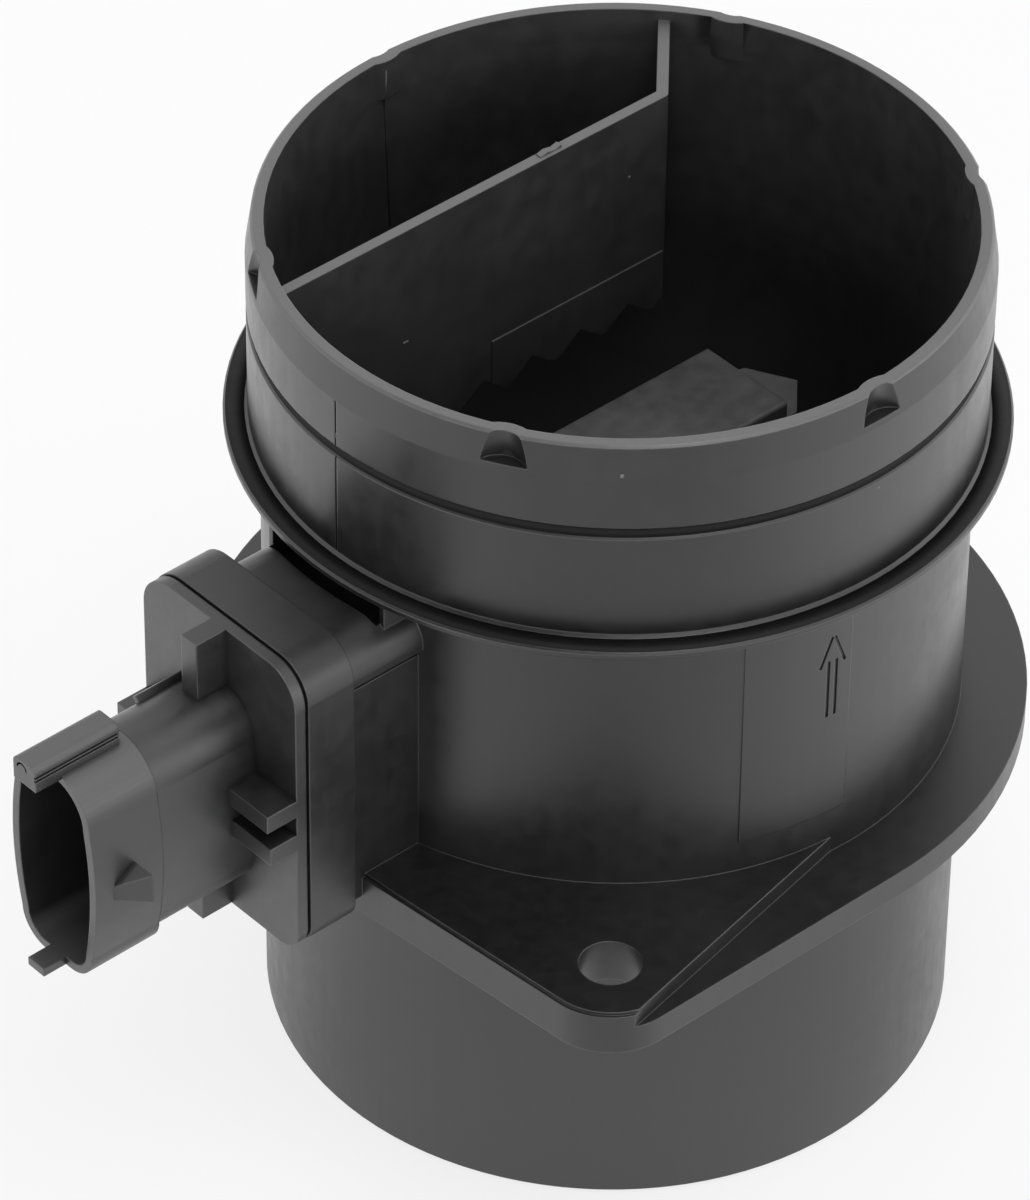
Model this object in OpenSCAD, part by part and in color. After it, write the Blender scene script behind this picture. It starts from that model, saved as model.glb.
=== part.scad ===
// Mass airflow sensor: a moulded air duct with a plug-in hot-film sensor in its side.
// The duct stands on its inlet spigot at the origin and the air flows up, along +Z.
// The sensor's axis runs along X, with the connector's mouth towards -X.

/* [Duct] */
// Height of the duct, from the spigot's edge to the outlet rim
duct_h = 114.3; // [108:0.1:124]
// Outer radius of the inlet spigot
spigot_r = 42; // [40:0.1:44]
// Outer radius of the barrel between the flange and the bead
barrel_r = 41.8; // [40.5:0.1:43]
// Radius of the air path at the barrel's narrow end
air_r = 39.7; // [38:0.1:40]
// Radius of the air path at the outlet rim
mouth_r = 40.9; // [40:0.05:41.2]
// Length of the edge chamfer at the spigot's foot
foot_chamfer = 0.6; // [0.2:0.1:1.2]
// Width of the spigot's shoulder under the flange
shoulder_w = 0.2; // [0.1:0.05:0.6]
// Height of the spigot's shoulder under the flange
shoulder_h = 2.8; // [1:0.1:5]

/* [Outlet collar] */
// Radius of the hose seat
collar_r = 43.1; // [42.6:0.05:44]
// Radius of the rim's outer edge
rim_r = 42.45; // [42.1:0.05:42.9]
// Distance from the rim down to the foot of its taper
taper_h = 4.65; // [3.5:0.05:6]
// Distance from the rim down to the barb's lower edge
barb_h = 11; // [9:0.1:13]
// Height of the undercut below the barb
undercut_h = 1.1; // [0.6:0.1:1.6]
// Depth of the undercut below the barb
undercut_d = 0.6; // [0.3:0.1:0.9]
// Height of the stop bead's upper face above the spigot's edge
bead_z = 87.7; // [84.5:0.1:90]
// Radius of the stop bead
bead_r = 46; // [45:0.1:48]
// Thickness of the stop bead
bead_t = 1.15; // [0.9:0.05:2]
// Radius of the fillet at the collar's foot
foot_fillet = 0.4; // [0.2:0.1:1]
// Number of clip pockets in the rim
pockets = 6; // [3:1:8]
// Radius of a clip pocket
pocket_r = 3.2; // [2.4:0.1:3.6]
// Depth of a clip pocket at its ledge
pocket_d = 1.8; // [1.2:0.1:2]
// Height of a clip pocket, from the rim down to its ledge
pocket_h = 3.9; // [3:0.1:4.5]
// Lean of a clip pocket's back wall, in degrees
pocket_lean = 9; // [4:1:12]
// Swelling of the wall behind a clip pocket, into the mouth
pocket_swell = 0.5; // [0.3:0.05:1]
// Radius of the swelling behind a clip pocket
swell_r = 4.6; // [4:0.1:5.2]
// Depth of the swelling below a clip pocket's ledge
swell_h = 1.5; // [0.6:0.1:3]
// Width of the mould's seam line down the hose seat
seam_w = 0.25; // [0.15:0.05:0.4]
// Depth of the mould's seam line
seam_d = 0.2; // [0.1:0.05:0.4]
// Angle of the seam line from +X, in degrees
seam_angle = 180; // [170:1:190]

/* [Flange] */
// Height of the flange's lower face above the spigot's edge
flange_z = 43.8; // [40:0.1:45.4]
// Thickness of the flange
flange_t = 3.6; // [3:0.1:4.4]
// Radius of the flange
flange_r = 49.7; // [48.5:0.1:51]
// Height of the raised pads above the flange
pad_h = 2.2; // [1.2:0.1:3]
// Distance of an ear's bolt hole from the duct's axis
ear_reach = 55.4; // [54:0.1:60]
// Radius of an ear's tip
ear_r = 8.7; // [7:0.1:10]
// Diameter of a bolt hole
bolt_d = 7.3; // [6:0.1:8.5]
// Angle of the front ear from +X, in degrees
ear_angle = 227.5; // [224:0.5:232]
// Width of the small step along a pad's upper edge
pad_edge = 0.4; // [0.2:0.1:0.6]
// Angle at which a pad's edge leaves the barrel, from its ear, in degrees
pad_angle = 37.6; // [33:0.1:40]
// Turn of a pad's edge from the ear's direction, in degrees
pad_turn = 36.6; // [34:0.1:40]

/* [Boss] */
// Distance of the sensor's centre height above the spigot's edge
sensor_z = 65.85; // [64.5:0.05:67]
// Half width of the boss
boss_w = 10.9; // [10.6:0.1:11.4]
// Height of the boss's upper face above the spigot's edge
boss_top = 85; // [84.4:0.1:85.8]
// Height of the boss's lower face above the spigot's edge
boss_foot = 46.4; // [45.6:0.1:46.8]
// Overhang of the boss's rounded upper part
brow_w = 0.6; // [0.3:0.1:1]
// Height of the rounded upper part
brow_h = 6; // [5.4:0.1:7]
// Radius of the boss's upper edges
brow_r = 5; // [3.5:0.1:5.4]
// Height of the groove under the rounded upper part
brow_gap = 0.9; // [0.5:0.1:1.4]
// Radius out to which the recess under the bead reaches
recess_r = 46.3; // [45.5:0.1:48]
// Half width of the recess under the bead
recess_w = 9.3; // [8:0.1:9.8]
// Depth of the recess under the bead
recess_d = 2.3; // [1.5:0.1:2.4]
// Thickness of a gusset between the boss and the bead
gusset_t = 0.7; // [0.5:0.1:1.2]
// Reach of a gusset from the duct's axis
gusset_reach = 44.7; // [43.5:0.1:44.8]

/* [Socket collar] */
// Distance of the socket collar's back from the duct's axis
collar_back = 52.1; // [50.4:0.1:53.5]
// Length of the socket collar
collar_l = 6.7; // [6:0.1:8]
// Half width of the socket collar
socket_w = 13.45; // [13.2:0.05:14.2]
// Height of the socket collar
socket_h = 41.4; // [40.4:0.1:42.4]
// Distance of the socket collar's centre above the sensor's centre
socket_rise = 0.5; // [0:0.1:0.8]
// Radius of the socket collar's upper corners
socket_top_r = 4.9; // [4:0.1:5.5]
// Radius of the socket collar's lower corners
socket_low_r = 3.4; // [2.5:0.1:4.4]

/* [Divider] */
// Distance of the divider's middle from the sensor's axis
divider_y = 16; // [14:0.1:18]
// Thickness of the divider
divider_t = 1.4; // [1:0.1:2]
// Distance of the divider's upper edge below the rim
divider_drop = 1.4; // [0.8:0.1:3]
// Height of the divider's lower edge above the spigot's edge
divider_low = 82.6; // [82:0.1:86]
// Distance from the duct's axis to the divider's fold, along X
fold_x = 20.9; // [18:0.1:23]
// Turn of the divider at its fold, in degrees
fold_turn = 46.6; // [42:0.2:50]
// Pitch of the teeth along the divider's lower edge
tooth_pitch = 7.6; // [6:0.1:9]
// Height of the teeth
tooth_h = 2.6; // [1.8:0.1:3.5]
// Radius of a tooth's tip
tooth_r = 1.3; // [0.8:0.1:1.6]
// Distance of the first tooth's tip from the fold
tooth_start = 1.7; // [1:0.1:3]
// Extra thickness of the divider's lower band
band_t = 0.3; // [0.1:0.1:0.6]
// Height of the divider's lower band
band_h = 7.8; // [6:0.1:10]
// Reach of the lower band past the duct's axis, towards the connector
band_reach = 6.1; // [3:0.1:12]

/* [Flow arrow] */
// Angle of the arrow from +X, in degrees
arrow_angle = 263.6; // [262.5:0.1:264.5]
// Height of the arrow's point above the spigot's edge
arrow_z = 81; // [79:0.1:82]
// Length of the arrow
arrow_l = 12.2; // [10:0.1:14]
// Width of the arrow's head
head_w = 3.5; // [3:0.1:4.5]
// Length of the arrow's head
head_l = 4.6; // [4:0.1:5.5]
// Width of the arrow's shaft
shaft_w = 1.1; // [0.8:0.1:1.4]
// Reach of the arrow's shaft into its head
shaft_in = 0.7; // [0:0.1:1.2]
// Width of the arrow's line
line_w = 0.4; // [0.3:0.05:0.5]
// Depth of the arrow's line
line_d = 0.3; // [0.2:0.05:0.4]
// Height of the panel that the arrow stands on
panel_t = 0.15; // [0.1:0.05:0.4]
// Distance of the panel's lower edge above the raised pads
panel_rise = 4.4; // [2:0.1:8]
// Width of the panel in degrees
panel_span = 19.5; // [17:0.5:21]
// Angle of the panel's middle from +X, in degrees
panel_angle = 257.6; // [256.5:0.1:258.5]

/* [Insert flange] */
// Thickness of the insert's flange
insert_t = 1.8; // [1.4:0.1:2.4]
// Distance of the insert flange's edge inside the socket collar's
insert_inset = 0.15; // [0.05:0.05:0.4]
// Width of the shadow groove between the insert's flange and the collar
shadow_w = 0.35; // [0.2:0.05:0.5]
// Depth of the shadow groove
shadow_d = 0.5; // [0.3:0.1:0.8]
// Thickness of the ribs on the insert's flange
rib_t = 2.7; // [2:0.1:3]
// Reach of the ribs in front of the insert's flange
rib_l = 4.3; // [3:0.1:5]
// Thickness of a side bar
bar_t = 2.35; // [1.8:0.05:2.6]
// Gap between the two side bars
bar_gap = 2.7; // [2:0.1:3.4]
// Distance of the side bars' gap above the connector's centre
bar_rise = 0.2; // [-1:0.1:1]
// Distance by which a lower bar is shorter than the upper one
bar_step = 0.4; // [0:0.1:1]

/* [Connector] */
// Distance of the connector's centre below the sensor's centre
plug_drop = 0.6; // [0:0.1:1.2]
// Half width of the connector's shroud
plug_w = 7.4; // [7.1:0.1:7.8]
// Height of the connector's shroud
plug_h = 28.7; // [28:0.1:29.4]
// Radius of the shroud's bulging sides
plug_side_r = 48; // [42:1:56]
// Radius of the shroud's upper corners
plug_top_r = 6; // [5.2:0.1:6.2]
// Radius of the shroud's lower corners
plug_low_r = 4; // [3.4:0.1:4.6]
// Wall of the shroud and of the neck
plug_wall = 1.1; // [0.9:0.05:1.2]
// Length of the shroud
shroud_l = 9.8; // [9:0.1:12]
// Length of the neck, from the insert's flange to the shroud
neck_l = 14.6; // [13:0.1:17]
// Inset of the neck inside the shroud
neck_inset = 0.9; // [0.6:0.1:1.1]
// Thickness of the socket's floor in front of the insert's flange
floor_t = 5.6; // [4:0.1:7]
// Width of the key on the shroud's back
key_w = 3.9; // [3:0.1:4.2]
// Height of the key above the shroud's back
key_h = 2.8; // [2:0.1:3.2]
// Reach of the key in front of the shroud's mouth
key_reach = 3.6; // [2.5:0.1:4.5]
// Length of the key behind the shroud's mouth
key_l = 8.3; // [7:0.1:9]
// Radius of the key's upper edges
key_r = 0.9; // [0.5:0.1:1.1]
// Depth of the fine grooves along the key's side
groove_d = 0.25; // [0.15:0.05:0.3]
// Depth of the curved slot in the key's front
slot_d = 2.5; // [1:0.1:4]
// Width of the tongue under the shroud's mouth
tongue_w = 2.8; // [2:0.1:3.2]
// Reach of the tongue in front of the shroud's mouth
tongue_reach = 3.2; // [2:0.1:4]
// Distance of the latch wedges behind the shroud's mouth
wedge_in = 2.6; // [1:0.1:4]
// Length of a latch wedge's ramp
wedge_l = 3.1; // [2.4:0.1:4]
// Height of a latch wedge at the foot of its ramp
wedge_h = 2.1; // [1.5:0.1:3]
// Rise of a latch wedge's upper face along its ramp
slope_h = 1.9; // [0.5:0.1:3]
// Distance of a latch wedge's underside below the connector's centre
wedge_drop = 2.1; // [0:0.1:4]
// Rise of a latch wedge above the shroud's side
wedge_rise = 3.2; // [1.2:0.1:3.6]
// Length of the fin along the neck's upper corner
fin_l = 8.6; // [7:0.1:10]
// Thickness of the fin
fin_t = 0.8; // [0.6:0.1:1.2]
// Turn of the fin from the side towards the top, in degrees
fin_turn = 48; // [40:1:60]

/* [Terminals] */
// Number of terminals
terminals = 5; // [5:1:5]
// Pitch of the terminals
pin_pitch = 4.2; // [3.8:0.1:4.5]
// Width of a terminal
pin_w = 1.5; // [1:0.1:2]
// Thickness of a terminal
pin_t = 0.64; // [0.5:0.02:0.8]
// Free length of a terminal in the socket
pin_free = 12; // [10:0.1:14]
// Length of a terminal's tapered tip
pin_tip = 1.4; // [1:0.1:2]
// Distance of a terminal's inner end from the circuit board's edge
pin_root = 1.5; // [1:0.1:3]

/* [Blade] */
// Half width of the measuring blade
blade_w = 7.05; // [6.8:0.05:7.4]
// Height of the measuring blade, along the air flow
blade_h = 29.7; // [28.5:0.1:30]
// Distance of the blade's end past the duct's axis
blade_end = 20.7; // [19:0.1:23]
// Half width of the sealing plug
stem_w = 8.4; // [8:0.1:8.6]
// Distance of the sealing plug's inner end from the duct's axis
stem_end = 44.6; // [43:0.1:46]
// Radius of the sealing plug's corners
stem_r = 3; // [2.2:0.1:3.6]
// Radius of the blade's corners
blade_r = 0.5; // [0.3:0.1:2]
// Gap between the sealing plug and the boss's bore
stem_gap = 0.2; // [0.1:0.05:0.3]
// Length of the nose on the blade's end
nose_l = 6.2; // [4:0.1:7]
// Drop of the nose below the blade's upper face
nose_drop = 2.6; // [1.5:0.1:4]
// Height of the nose
nose_h = 17; // [12:0.5:20]
// Width of the nose's tip towards its two sides, as shares of the blade's half width
nose_tip = 0.33; // [0.2:0.01:0.5]

/* [Seal] */
// Width of the seal's groove
seal_l = 2.8; // [2.2:0.1:3.2]
// Depth of the seal's groove
seal_d = 1.5; // [1.2:0.1:1.8]
// Distance of the seal's groove behind the insert's flange
seal_back = 4.2; // [3:0.1:5]
// Depth of the valley between the seal's lips
lip_d = 0.6; // [0.3:0.1:0.8]

/* [Covers and circuit] */
// Thickness of the two covers
cover_t = 1.2; // [1:0.1:1.5]
// Width of the seat that carries a cover
seat_w = 1.3; // [1:0.1:1.5]
// Gap around a cover
cover_gap = 0.1; // [0.05:0.05:0.15]
// Step along a cover's edge
edge_step = 0.3; // [0.1:0.05:0.4]
// Wall between the circuit bay and the measuring channel
web_t = 2.6; // [2.4:0.1:3]
// Thickness of the blade's back wall
back_t = 3.5; // [3:0.1:4]
// Height of the wall above and below the bays
rim_t = 3; // [2.8:0.1:3.4]
// Length of the circuit bay
bay_l = 29.5; // [29:0.1:31]
// Distance of the circuit bay's root from the duct's axis
bay_root = 35.5; // [35:0.1:37]
// Thickness of the base plate
plate_t = 1; // [0.8:0.1:1.2]
// Thickness of the circuit board
board_t = 0.64; // [0.5:0.02:0.8]
// Gap between the base plate and the bay's walls
plate_gap = 0.5; // [0.3:0.1:1]
// Length of the circuit board
board_l = 22; // [20:0.1:23]
// Distance of the circuit board's edge from the base plate's
board_in = 1; // [0.5:0.1:2]
// Height of the circuit board
board_h = 20; // [18:0.1:22]
// Size of the signal chip
chip_w = 4.6; // [4:0.1:5.5]
// Thickness of the signal chip
chip_t = 0.9; // [0.6:0.1:1.2]
// Length of a capacitor
cap_l = 2; // [1.6:0.1:3.2]
// Thickness and height of a capacitor
cap_t = 1.25; // [1:0.05:1.6]
// Distance between a capacitor and the signal chip
cap_gap = 1.9; // [1:0.1:4]

/* [Measuring channel] */
// Width of the channel's inlet slot
inlet_w = 6.5; // [5:0.1:7.5]
// Distance of the inlet slot's middle past the duct's axis
inlet_x = 13; // [12:0.1:13.6]
// Length of the island that turns the air
island_l = 4; // [3:0.1:4.4]
// Distance of the island's middle past the duct's axis
island_x = 6.8; // [6.4:0.1:7]
// Distance by which the channel runs into the wall at the blade's end
channel_in = 1; // [0.5:0.1:1.2]
// Width of the outlet window in the channel's cover
outlet_w = 5; // [4:0.1:5.5]
// Height of the outlet window in the channel's cover
outlet_h = 5.5; // [4:0.1:6]
// Distance of the outlet window from the channel's walls
outlet_inset = 0.8; // [0.5:0.1:1.2]
// Height of the chip carrier
carrier_h = 6; // [5:0.1:7]
// Thickness of the chip carrier
carrier_t = 0.8; // [0.6:0.1:1]
// Reach of the chip carrier into the channel
carrier_reach = 4.6; // [4:0.1:5]
// Length of the sensing chip
film_l = 3.4; // [2.8:0.1:3.6]
// Height of the sensing chip
film_h = 3; // [2:0.1:4]
// Thickness of the sensing chip
film_t = 0.4; // [0.3:0.05:0.6]

/* [Air thermistor] */
// Distance of the thermistor from the duct's axis
bead_x = 27; // [24:0.1:31]
// Drop of the thermistor below the blade
bead_drop = 4.4; // [3:0.1:5]
// Radius of the thermistor's bead
thermistor_r = 1.2; // [1:0.05:1.5]
// Spacing of the thermistor's leads
lead_gap = 1.1; // [0.9:0.05:1.3]
// Radius of a lead
lead_r = 0.25; // [0.2:0.01:0.3]
// Reach of a lead into the circuit bay
lead_in = 1.6; // [1:0.1:2]

/* [Hidden] */
$fn = 96;
cut = 0.5; // how far a cutting solid runs past the face that it opens
bite = 0.4; // how far a feature sinks into the wall that carries it
tuck = 0.01; // how far a straight edge lies inside the circle that it runs out of
far = 200; // larger than the part, for solids that are trimmed

// The duct's levels and walls
flange_top = flange_z + flange_t;
pad_top = flange_top + pad_h;
bead_low = bead_z - bead_t;
barb_z = duct_h - barb_h;
taper_z = duct_h - taper_h;
tube_skin = barrel_r - bite;

// The sensor's lengths along X, measured from the duct's axis towards the connector
collar_front = collar_back + collar_l;
insert_front = collar_front + insert_t;
neck_front = insert_front + neck_l;
mouth_x = neck_front + shroud_l;
floor_x = insert_front + floor_t;
plug_z = sensor_z - plug_drop;
plug_top = plug_z + plug_h / 2;
plug_low = plug_z - plug_h / 2;
socket_z = sensor_z + socket_rise;
seal_x = collar_front - seal_back;
stem_h = blade_h / 2 + stem_gap;
bore_w = stem_w + stem_gap;
bore_h = stem_h + stem_gap;
bore_r = stem_r + stem_gap;

// The blade's bays, measured from the face that the covers close
cover_y = -blade_w;
seat_y = cover_y + cover_t;
bay_floor = blade_w - back_t;
bay_low = sensor_z - blade_h / 2 + rim_t;
bay_top = sensor_z + blade_h / 2 - rim_t;
bay_end = bay_root - bay_l;
channel_start = -bay_end + web_t;
channel_end = blade_end - rim_t + channel_in;
plate_y = bay_floor - plate_t;
board_y = plate_y - board_t;
board_root = bay_root - plate_gap - board_in;
carrier_z = sensor_z;
carrier_y = board_y - carrier_t;
pin_in = board_root - pin_root;

// The width of a side arc of the connector's outline, at a height from its middle
function side_at(height) = sqrt(plug_side_r * plug_side_r - height * height) - (plug_side_r - plug_w);

// The unit step towards an angle from +X
function toward(angle) = [cos(angle), sin(angle)];

// The angle between an ear's direction and the points where its straight edges meet the circles
function edge_angle(big, small) = acos((big - small) / ear_reach);

// Draws a rectangle with rounded corners: half width, half height, upper and lower radius.
module soft_box(w, h, r_top, r_low) {
    polygon([[-w, h - r_top], [-w + r_top, h], [w - r_top, h], [w, h - r_top],
             [w, -h + r_low], [w - r_low, -h], [-w + r_low, -h], [-w, -h + r_low]]);
    for (side = [-1, 1]) {
        translate([side * (w - r_top), h - r_top]) circle(r = r_top);
        translate([side * (w - r_low), -h + r_low]) circle(r = r_low);
    }
}

// Extrudes an outline drawn in Y and Z along X, between two distances towards the connector.
module towards_plug(near, far_end) {
    translate([-far_end, 0, 0]) rotate([90, 0, 90]) linear_extrude(far_end - near) children();
}

// Extrudes an outline drawn in X and Z along Y, between two places.
module sideways(from, to) {
    translate([0, to, 0]) rotate([90, 0, 0]) linear_extrude(to - from) children();
}

// Draws the connector's outline: bulging sides, a round back and smaller lower corners.
module plug_outline(grow) {
    high = plug_h / 2 - plug_top_r;
    low = -plug_h / 2 + plug_low_r;
    high_y = side_at(high) - plug_top_r;
    low_y = side_at(low) - plug_low_r;
    intersection() {
        translate([-far / 2, low]) square([far, high - low]);
        translate([plug_w - plug_side_r, 0]) circle(r = plug_side_r + grow, $fn = 4 * $fn);
        translate([plug_side_r - plug_w, 0]) circle(r = plug_side_r + grow, $fn = 4 * $fn);
    }
    translate([-high_y, high]) square([2 * high_y, plug_top_r + grow]);
    translate([-low_y, low - plug_low_r - grow]) square([2 * low_y, plug_low_r + grow]);
    for (side = [-1, 1]) {
        translate([side * high_y, high]) circle(r = plug_top_r + grow);
        translate([side * low_y, low]) circle(r = plug_low_r + grow);
    }
}

// Draws the flange's outline with one ear: a circle, the ear's tip and their straight edges.
module ear_outline(angle, inset) {
    big = flange_r - inset;
    tip = ear_r - inset;
    turn = edge_angle(big, tip);
    circle(r = big, $fn = 2 * $fn);
    translate(ear_reach * toward(angle)) circle(r = tip);
    polygon([[0, 0], (big - tuck) * toward(angle - turn),
             ear_reach * toward(angle) + (tip - tuck) * toward(angle - turn), ear_reach * toward(angle),
             ear_reach * toward(angle) + (tip - tuck) * toward(angle + turn),
             (big - tuck) * toward(angle + turn)]);
}

// Draws the quarter plane on the ear's side of one pad edge, which starts at the barrel.
module pad_side(angle, side) {
    place = angle + side * pad_angle;
    translate(barrel_r * toward(place)) rotate(angle - side * pad_turn)
        translate([-bite, side > 0 ? -far : 0]) square([far, far]);
}

// Stands one raised pad on the flange, up to a level and stepped in by an inset.
module pad(angle, top, inset) {
    translate([0, 0, flange_top - bite]) linear_extrude(top - flange_top + bite) intersection() {
        ear_outline(angle, inset);
        pad_side(angle, 1);
        if (angle == ear_angle) translate([-far, -far - boss_w + bite]) square([2 * far, far]);
        else pad_side(angle, -1);
    }
}

module flange() {
    translate([0, 0, flange_z]) linear_extrude(flange_t) {
        ear_outline(ear_angle, 0);
        ear_outline(ear_angle + 180, 0);
    }
    for (turn = [0, 180]) {
        pad(ear_angle + turn, pad_top - pad_edge, 0);
        pad(ear_angle + turn, pad_top, pad_edge);
    }
}

// Turns the duct's outer form: spigot, barrel, bead, hose seat, barb and rim.
module duct_skin() {
    rotate_extrude($fn = 2 * $fn) polygon([
        [0, 0], [spigot_r - foot_chamfer, 0], [spigot_r, foot_chamfer],
        [spigot_r, flange_z - shoulder_h - shoulder_w], [spigot_r + shoulder_w, flange_z - shoulder_h],
        [spigot_r + shoulder_w, flange_z + bite], [barrel_r, flange_z + bite], [barrel_r, bead_low],
        [bead_r - bead_t / 4, bead_low], [bead_r, bead_low + bead_t / 4], [bead_r, bead_z - bead_t / 4],
        [bead_r - bead_t / 4, bead_z], [collar_r + foot_fillet, bead_z], [collar_r, bead_z + foot_fillet],
        [collar_r, barb_z - undercut_h - undercut_d], [collar_r - undercut_d, barb_z - undercut_h],
        [collar_r - undercut_d, barb_z], [collar_r, barb_z], [collar_r, taper_z],
        [rim_r, duct_h - line_d], [rim_r - line_d, duct_h], [0, duct_h]]);
}

// Turns the air path: a straight inlet, a slow cone under the collar and the wider mouth.
module air_path() {
    rotate_extrude($fn = 2 * $fn) polygon([
        [0, -cut], [air_r + foot_chamfer, -cut], [air_r + foot_chamfer, 0], [air_r, foot_chamfer],
        [air_r, bead_low], [mouth_r, taper_z], [mouth_r, duct_h + cut], [0, duct_h + cut]]);
}

// Places a leaning cylinder of the given radius at one clip pocket.
module pocket_bar(radius, low, high) {
    translate([collar_r - pocket_d + pocket_r, 0, duct_h - pocket_h]) rotate([0, pocket_lean, 0])
        translate([0, 0, low]) cylinder(r = radius, h = high - low);
}

// Places its children at each clip pocket, which lie between the sensor's axis and its sides.
module at_pockets() {
    for (i = [0:pockets - 1]) rotate(180 / pockets + i * 360 / pockets) children();
}

// Builds the swollen wall behind the clip pockets, inside the mouth.
module pocket_walls() {
    low = duct_h - pocket_h - swell_h;
    intersection() {
        at_pockets() translate([mouth_r - pocket_swell + swell_r, 0, low])
            cylinder(r = swell_r, h = duct_h - low);
        translate([0, 0, low]) cylinder(r = rim_r - line_d, h = duct_h - low, $fn = 2 * $fn);
    }
}

// Cuts the clip pockets, each above its flat ledge.
module pocket_cuts() {
    intersection() {
        at_pockets() pocket_bar(pocket_r, -pocket_h, 2 * pocket_h);
        translate([0, 0, duct_h - pocket_h]) cylinder(r = far, h = pocket_h + cut);
    }
}

module boss() {
    brow_z = boss_top - brow_h;
    towards_plug(0, collar_back + bite) {
        translate([-boss_w, boss_foot]) square([2 * boss_w, brow_z - brow_gap - boss_foot]);
        translate([brow_w - boss_w, brow_z - brow_gap - bite])
            square([2 * (boss_w - brow_w), brow_gap + 2 * bite]);
        intersection() {
            translate([0, boss_top - brow_h]) soft_box(boss_w + brow_w, brow_h, brow_r, brow_r);
            translate([-far / 2, brow_z]) square([far, brow_h]);
        }
    }
}

// Cuts the recess between the boss's upper face and the bead.
module boss_recess() {
    translate([0, 0, boss_top - recess_d]) intersection() {
        difference() {
            cylinder(r = recess_r, h = recess_d + cut, $fn = 2 * $fn);
            translate([0, 0, -cut]) cylinder(r = barrel_r, h = recess_d + 3 * cut, $fn = 2 * $fn);
        }
        translate([-far, -recess_w, -cut]) cube([far, 2 * recess_w, recess_d + 2 * cut]);
    }
}

// Ties the boss's upper face to the bead at both ends of the recess.
module gussets() {
    for (side = [0, 1]) mirror([0, side, 0]) sideways(-recess_w - gusset_t, -recess_w)
        translate([-gusset_reach, boss_top - brow_h / 2])
            square([gusset_reach - air_r, bead_low + bite - boss_top + brow_h / 2]);
}

module socket_outline(inset) {
    translate([0, socket_z])
        soft_box(socket_w - inset, socket_h / 2 - inset, socket_top_r - inset, socket_low_r - inset);
}

// Draws the divider's flat part from the side, with the teeth along its lower edge.
module divider_face(top) {
    translate([-barrel_r, divider_low + tooth_h]) square([fold_x + barrel_r, top - divider_low - tooth_h]);
    for (tip = [fold_x - tooth_start:-tooth_pitch:-barrel_r]) translate([tip, divider_low]) {
        polygon([[-tooth_pitch / 2, tooth_h + bite], [-tooth_pitch / 2, tooth_h], [-tooth_r, tooth_r / 2],
                 [tooth_r, tooth_r / 2], [tooth_pitch / 2, tooth_h], [tooth_pitch / 2, tooth_h + bite]]);
        translate([0, tooth_r]) circle(r = tooth_r);
    }
}

// Builds the divider: a wall beside the blade that folds back and meets the far side.
module divider() {
    half = divider_t / 2;
    intersection() {
        union() {
            intersection() {
                sideways(divider_y - half, divider_y + half) divider_face(duct_h - divider_drop);
                translate([-far, -far, 0]) cube([far + fold_x, 2 * far, duct_h]);
            }
            intersection() {
                sideways(divider_y - half - band_t / 2, divider_y + half + band_t / 2)
                    divider_face(divider_low + band_h);
                translate([-band_reach, 0, 0]) cube([band_reach + fold_x, far, duct_h]);
            }
            translate([fold_x, divider_y, divider_low]) rotate(fold_turn) translate([0, -half, 0])
                cube([far, divider_t, duct_h - divider_drop - divider_low]);
            translate([fold_x, divider_y, divider_low])
                cylinder(r = half - tuck, h = duct_h - divider_drop - divider_low);
        }
        cylinder(r = tube_skin, h = duct_h, $fn = 2 * $fn);
    }
}

// Draws the flow arrow flat: two strokes for the head and two for the open shaft.
module arrow_lines() {
    slope = atan2(head_l, head_w / 2);
    for (side = [-1, 1]) {
        translate([0, arrow_z]) rotate(side * (90 - slope) - 90) translate([line_w, -line_w / 2])
            square([head_l / sin(slope) - line_w, line_w]);
        translate([side * shaft_w / 2 - line_w / 2, arrow_z - arrow_l])
            square([line_w, arrow_l - head_l + shaft_in]);
    }
}

// Raises the plain panel on the barrel.
module panel() {
    low = pad_top + panel_rise;
    rotate(panel_angle - panel_span / 2) rotate_extrude(angle = panel_span, $fn = 2 * $fn)
        translate([tube_skin, low]) square([barrel_r + panel_t - tube_skin, bead_low + bite - low]);
}

// Sinks the flow arrow into the panel.
module arrow_cut() {
    intersection() {
        rotate(arrow_angle + 90) sideways(-bead_r, 0) arrow_lines();
        difference() {
            cylinder(r = bead_r, h = duct_h, $fn = 2 * $fn);
            translate([0, 0, -cut])
                cylinder(r = barrel_r + panel_t - line_d, h = duct_h + 2 * cut, $fn = 2 * $fn);
        }
    }
}

// Sinks the seam line into the hose seat, from the bead to the foot of the rim's taper.
module seam() {
    rotate(seam_angle) translate([collar_r - seam_d, -seam_w / 2, bead_z + foot_fillet])
        cube([far, seam_w, taper_z - bead_z - foot_fillet]);
}

// Opens the boss's bore from the socket collar through the barrel's wall.
module sensor_bore() {
    towards_plug(air_r / 2, collar_front + cut) translate([0, sensor_z])
        soft_box(bore_w, bore_h, bore_r, bore_r);
}

module housing() color([0.13, 0.13, 0.14]) {
    difference() {
        union() {
            duct_skin();
            flange();
            boss();
            gussets();
            panel();
            towards_plug(collar_back, collar_front) socket_outline(0);
        }
        air_path();
        pocket_cuts();
        boss_recess();
        arrow_cut();
        seam();
        sensor_bore();
        for (turn = [0, 180]) rotate(ear_angle + turn) translate([ear_reach, 0, flange_z - cut])
            cylinder(d = bolt_d, h = pad_top - flange_z + 2 * cut);
    }
    difference() {
        union() {
            pocket_walls();
            divider();
        }
        pocket_cuts();
    }
}

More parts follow.
